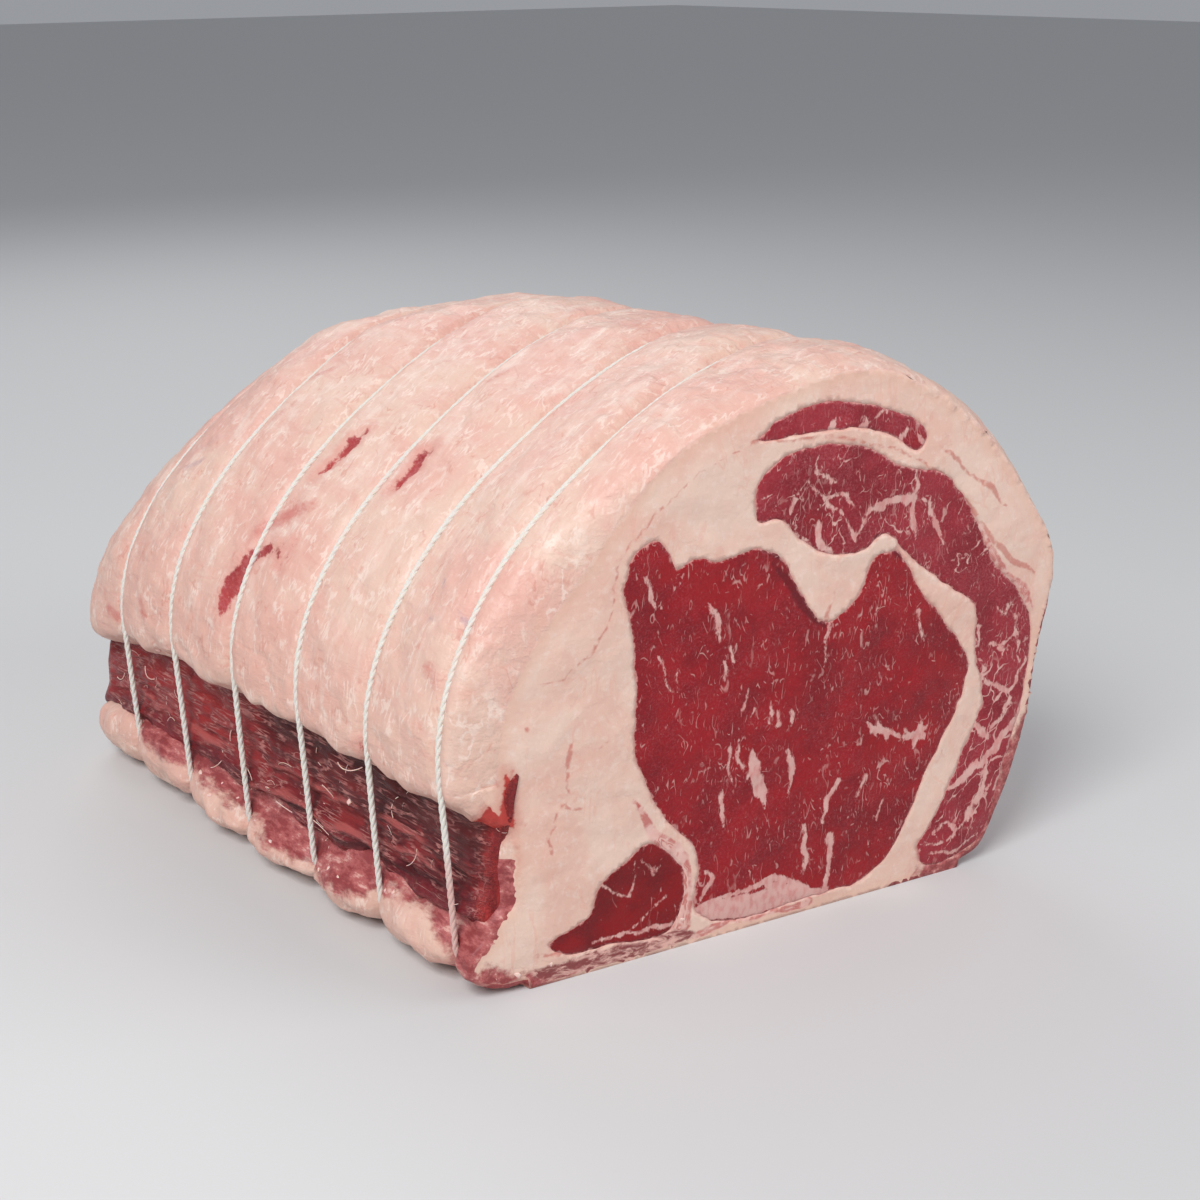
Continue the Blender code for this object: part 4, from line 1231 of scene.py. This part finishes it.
RAGGED_EDGES = [
    [(92, -118, 84, 1.0), (91, -117, 76, 2.0), (89, -117, 60, 2.0), (84, -116, 40, 2.0)],
    [(88, -116, 100, 1.2), (84, -115, 108, 1.2), (70, -112, 126, 1.0)],
    [(-87, -5, 49, 1.5), (-87, -30, 49, 1.5), (-86, -60, 48, 1.5), (-86, 40, 50, 1.5), (-87, 90, 52, 1.5)],
    [(-89, -60, 22, 2.0), (-89, -30, 16, 2.5), (-90, 0, 13, 2.0), (-90, 30, 16, 2.0), (-91, 70, 18, 2.0)],
    [(-80, -86, 7, 3.0), (-70, -88, 7, 2.5), (-50, -93, 7, 2.0), (-30, -98, 7, 2.0)],
]
muscle_at = seen_points(side_muscle)
on_side = (muscle_at[:, 0] < -80) * (0.35 + 0.65 * eased(ripples(muscle_at * (1, 0.4, 1), 13), -0.1, 0.25))
strew(
    "torn_threads", side_muscle, on_side, amount=15000, thread_share=0.97, smallest=0.3, largest=1.6, seed=3)
FLAPS = [
    [(90, -117, 86, 1.0), (91, -117, 80, 1.5), (90, -117, 74, 1.0)],
    [(86, -116, 106, 0.8), (82, -115, 112, 0.8)],
]
CLEAR_OF_TABLE = 5.5
fat_at = seen_points(fat)
flaps = torn_density(fat_at, FLAPS)
strew("torn_flaps", fat, flaps, amount=60000, thread_share=0.0, smallest=1.4, largest=2.6, seed=12)
crumbs = torn_density(fat_at, RAGGED_EDGES) * (fat_at[:, 2] > CLEAR_OF_TABLE)
strew("crumbs_of_fat", fat, crumbs, amount=30000, thread_share=0.25, smallest=0.35, largest=1.0, seed=7)

# ---- The strings ---------------------------------------------------------------------------
# Six loops of undyed cotton twine, laid from three strands, tied tight round the roll. Each sinks into
# the fat over the crest, spans the bare side muscle in front, and cuts into the lip at the foot.
STRANDS, LAY_LENGTH, STRAND_R = 3, 8.5, 0.6
TWINE_POINT_STEP, SMOOTHING_ROUNDS = 0.8, 6
twine_inputs = {
    "Path": ("Geometry", None), "Strands": ("Int", STRANDS), "Turns": ("Float", 80.0),
    "Strand Radius": ("Float", STRAND_R * MM), "Lay Radius": ("Float", (TWINE_R - STRAND_R) * MM),
    "Twine Look": ("Material", None),
}
laid, given, asked = new_group("laid_twine", twine_inputs, {"Twine": "Geometry"}, "GeometryNodeTree")
copies = add_step(laid, "GeometryNodeDuplicateElements", {
    "Geometry": given["Path"], "Amount": given["Strands"]}, domain="SPLINE").outputs
factor = add_step(laid, "GeometryNodeSplineParameter").outputs["Factor"]
turns = plus(times(factor, given["Turns"]), sums("DIVIDE", copies["Duplicate Index"], given["Strands"]))
angle = times(turns, math.tau)
normal, tangent = geometry_step(laid, "InputNormal"), geometry_step(laid, "InputTangent")
outward_part, side_part = (
    vector_sums("SCALE", way, times(sums(wave, angle), given["Lay Radius"]))
    for way, wave in ((normal, "COSINE"), (vector_sums("CROSS_PRODUCT", tangent, normal), "SINE"))
)
moved = geometry_step(laid, "SetPosition", {
    "Geometry": copies["Geometry"], "Offset": vector_sums("ADD", outward_part, side_part)})
profile = geometry_step(laid, "CurvePrimitiveCircle", {"Resolution": 8, "Radius": given["Strand Radius"]})
strand = geometry_step(laid, "CurveToMesh", {"Curve": moved, "Profile Curve": profile})
finished(strand, given["Twine Look"], asked)

twine_look, tree, shader, where = new_material(
    "cotton_twine", Roughness=0.85, Sheen_Weight=0.25, Subsurface_Weight=0.1, Subsurface_Scale=0.001)
fluff = cloud(where, 0.5, 3, 0.7)
cotton = mixed(fluff, (0.60, 0.56, 0.50), (0.86, 0.83, 0.77))
soiled = mixed(blots(where, (14, 3), 0.55, 0.75, 0, 0.5), cotton, (0.78, 0.62, 0.55))
axes = add_node(tree, "SeparateXYZ", {0: where}).outputs
low_down = between(plus(axes[2], waver(where, 6, 8 * MM)), 46 * MM, 30 * MM)
by_cut = between(axes[1], -44 * MM, -62 * MM)
bloody = times(times(low_down, by_cut), between(axes[0], -60 * MM, -80 * MM, 0, 0.6))
fed(shader, Base_Color=mixed(bloody, soiled, (0.66, 0.26, 0.22)), Normal=bump(fluff, 0.5, 0.25))

for k in range(TIES):
    across = string_y(k, turn)
    sunk_x = section[:, 0] - out[:, 0] * string_depth
    sunk_z = section[:, 1] - out[:, 1] * string_depth
    in_place_x, in_place_z = shaped(sunk_x, across, sunk_z)
    taut = convex(np.stack([in_place_x, in_place_z], 1))
    run = np.linalg.norm(np.roll(taut, -1, 0) - taut, axis=1)
    length = run.sum()
    stops = np.concatenate([[0], np.cumsum(run)])
    closed = np.concatenate([taut, taut[:1]])
    count = round(length / TWINE_POINT_STEP)
    at = np.arange(count) * length / count
    rounded = np.stack([np.interp(at, stops, closed[:, axis]) for axis in (0, 1)])
    for _ in range(SMOOTHING_ROUNDS):
        rounded = (np.roll(rounded, 1, 1) + 2 * rounded + np.roll(rounded, -1, 1)) / 4
    path_x, path_z = rounded
    path_y = string_y(k, np.arctan2(path_z - 70, path_x - CENTRE_X))
    curve = bpy.data.curves.new(f"string_path_{k + 1}", "CURVE")
    curve.dimensions = "3D"
    spline = curve.splines.new("POLY")
    spline.points.add(count - 1)
    spline.use_cyclic_u = True
    places = np.stack([path_x - CENTRE_X, path_y - CENTRE_Y, path_z], 1) * MM
    spline.points.foreach_set("co", np.concatenate([places, np.ones((count, 1))], 1).ravel())
    path = in_scene(curve.name, curve)
    string = made_by(laid, path, {
        "Turns": float(round(length / LAY_LENGTH)), "Strands": STRANDS, "Strand Radius": STRAND_R * MM,
        "Lay Radius": (TWINE_R - STRAND_R) * MM, "Twine Look": twine_look,
    }, f"string_{k + 1}")
    bpy.data.objects.remove(path)
    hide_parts(f"twine_{k + 1}")
    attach(string, "root")

# ---- The table, the lights and the camera --------------------------------------------------
# A plain pale table under soft lamps, seen from in front of the left corner of the cut.
floor_mesh = bpy.data.meshes.new("table")
FLOOR_REACH = 6.0
corners = [(a * FLOOR_REACH, b * FLOOR_REACH, 0) for a, b in ((-1, -1), (1, -1), (1, 1), (-1, 1))]
floor_mesh.from_pydata(corners, [], [(0, 1, 2, 3)])
floor = in_scene("table", floor_mesh)
floor.data.materials.append(new_material("pale_table", Roughness=0.7, Base_Color=(0.62, 0.62, 0.62, 1))[0])


def add_lamp(name, place, aim, power, size):
    data = bpy.data.lights.new(name, "AREA")
    data.energy, data.size = power, size
    lamp = in_scene(name, data)
    lamp.location = place
    lamp.rotation_mode = "QUATERNION"
    lamp.rotation_quaternion = (Vector(aim) - Vector(place)).to_track_quat("-Z", "Y")


add_lamp("key", (-0.75, -0.35, 0.9), (0, 0, 0.07), 11, 0.5)
add_lamp("fill", (0.75, -0.9, 0.55), (0, 0, 0.07), 5.0, 0.8)
add_lamp("back", (0.3, 0.9, 0.8), (0, 0, 0.07), 3, 0.7)
world = bpy.data.worlds.new("room")
world.use_nodes = True
sky = world.node_tree.nodes["Background"].inputs
sky["Color"].default_value = (0.9, 0.93, 1.0, 1)
sky["Strength"].default_value = 0.35
bpy.context.scene.world = world
bpy.context.scene.view_settings.view_transform = "Standard"

CAMERA_HEIGHT, CAMERA_PITCH, CAMERA_TURN = 0.260, 20.4, 42.4
camera_data = bpy.data.cameras.new("camera")
camera_data.sensor_width, camera_data.lens = 36.0, 52.6
camera = in_scene("camera", camera_data)
camera.location = (-0.3305, -0.3946, CAMERA_HEIGHT)
camera.rotation_euler = (math.radians(90 - CAMERA_PITCH), 0, math.radians(-CAMERA_TURN))
bpy.context.scene.camera = camera
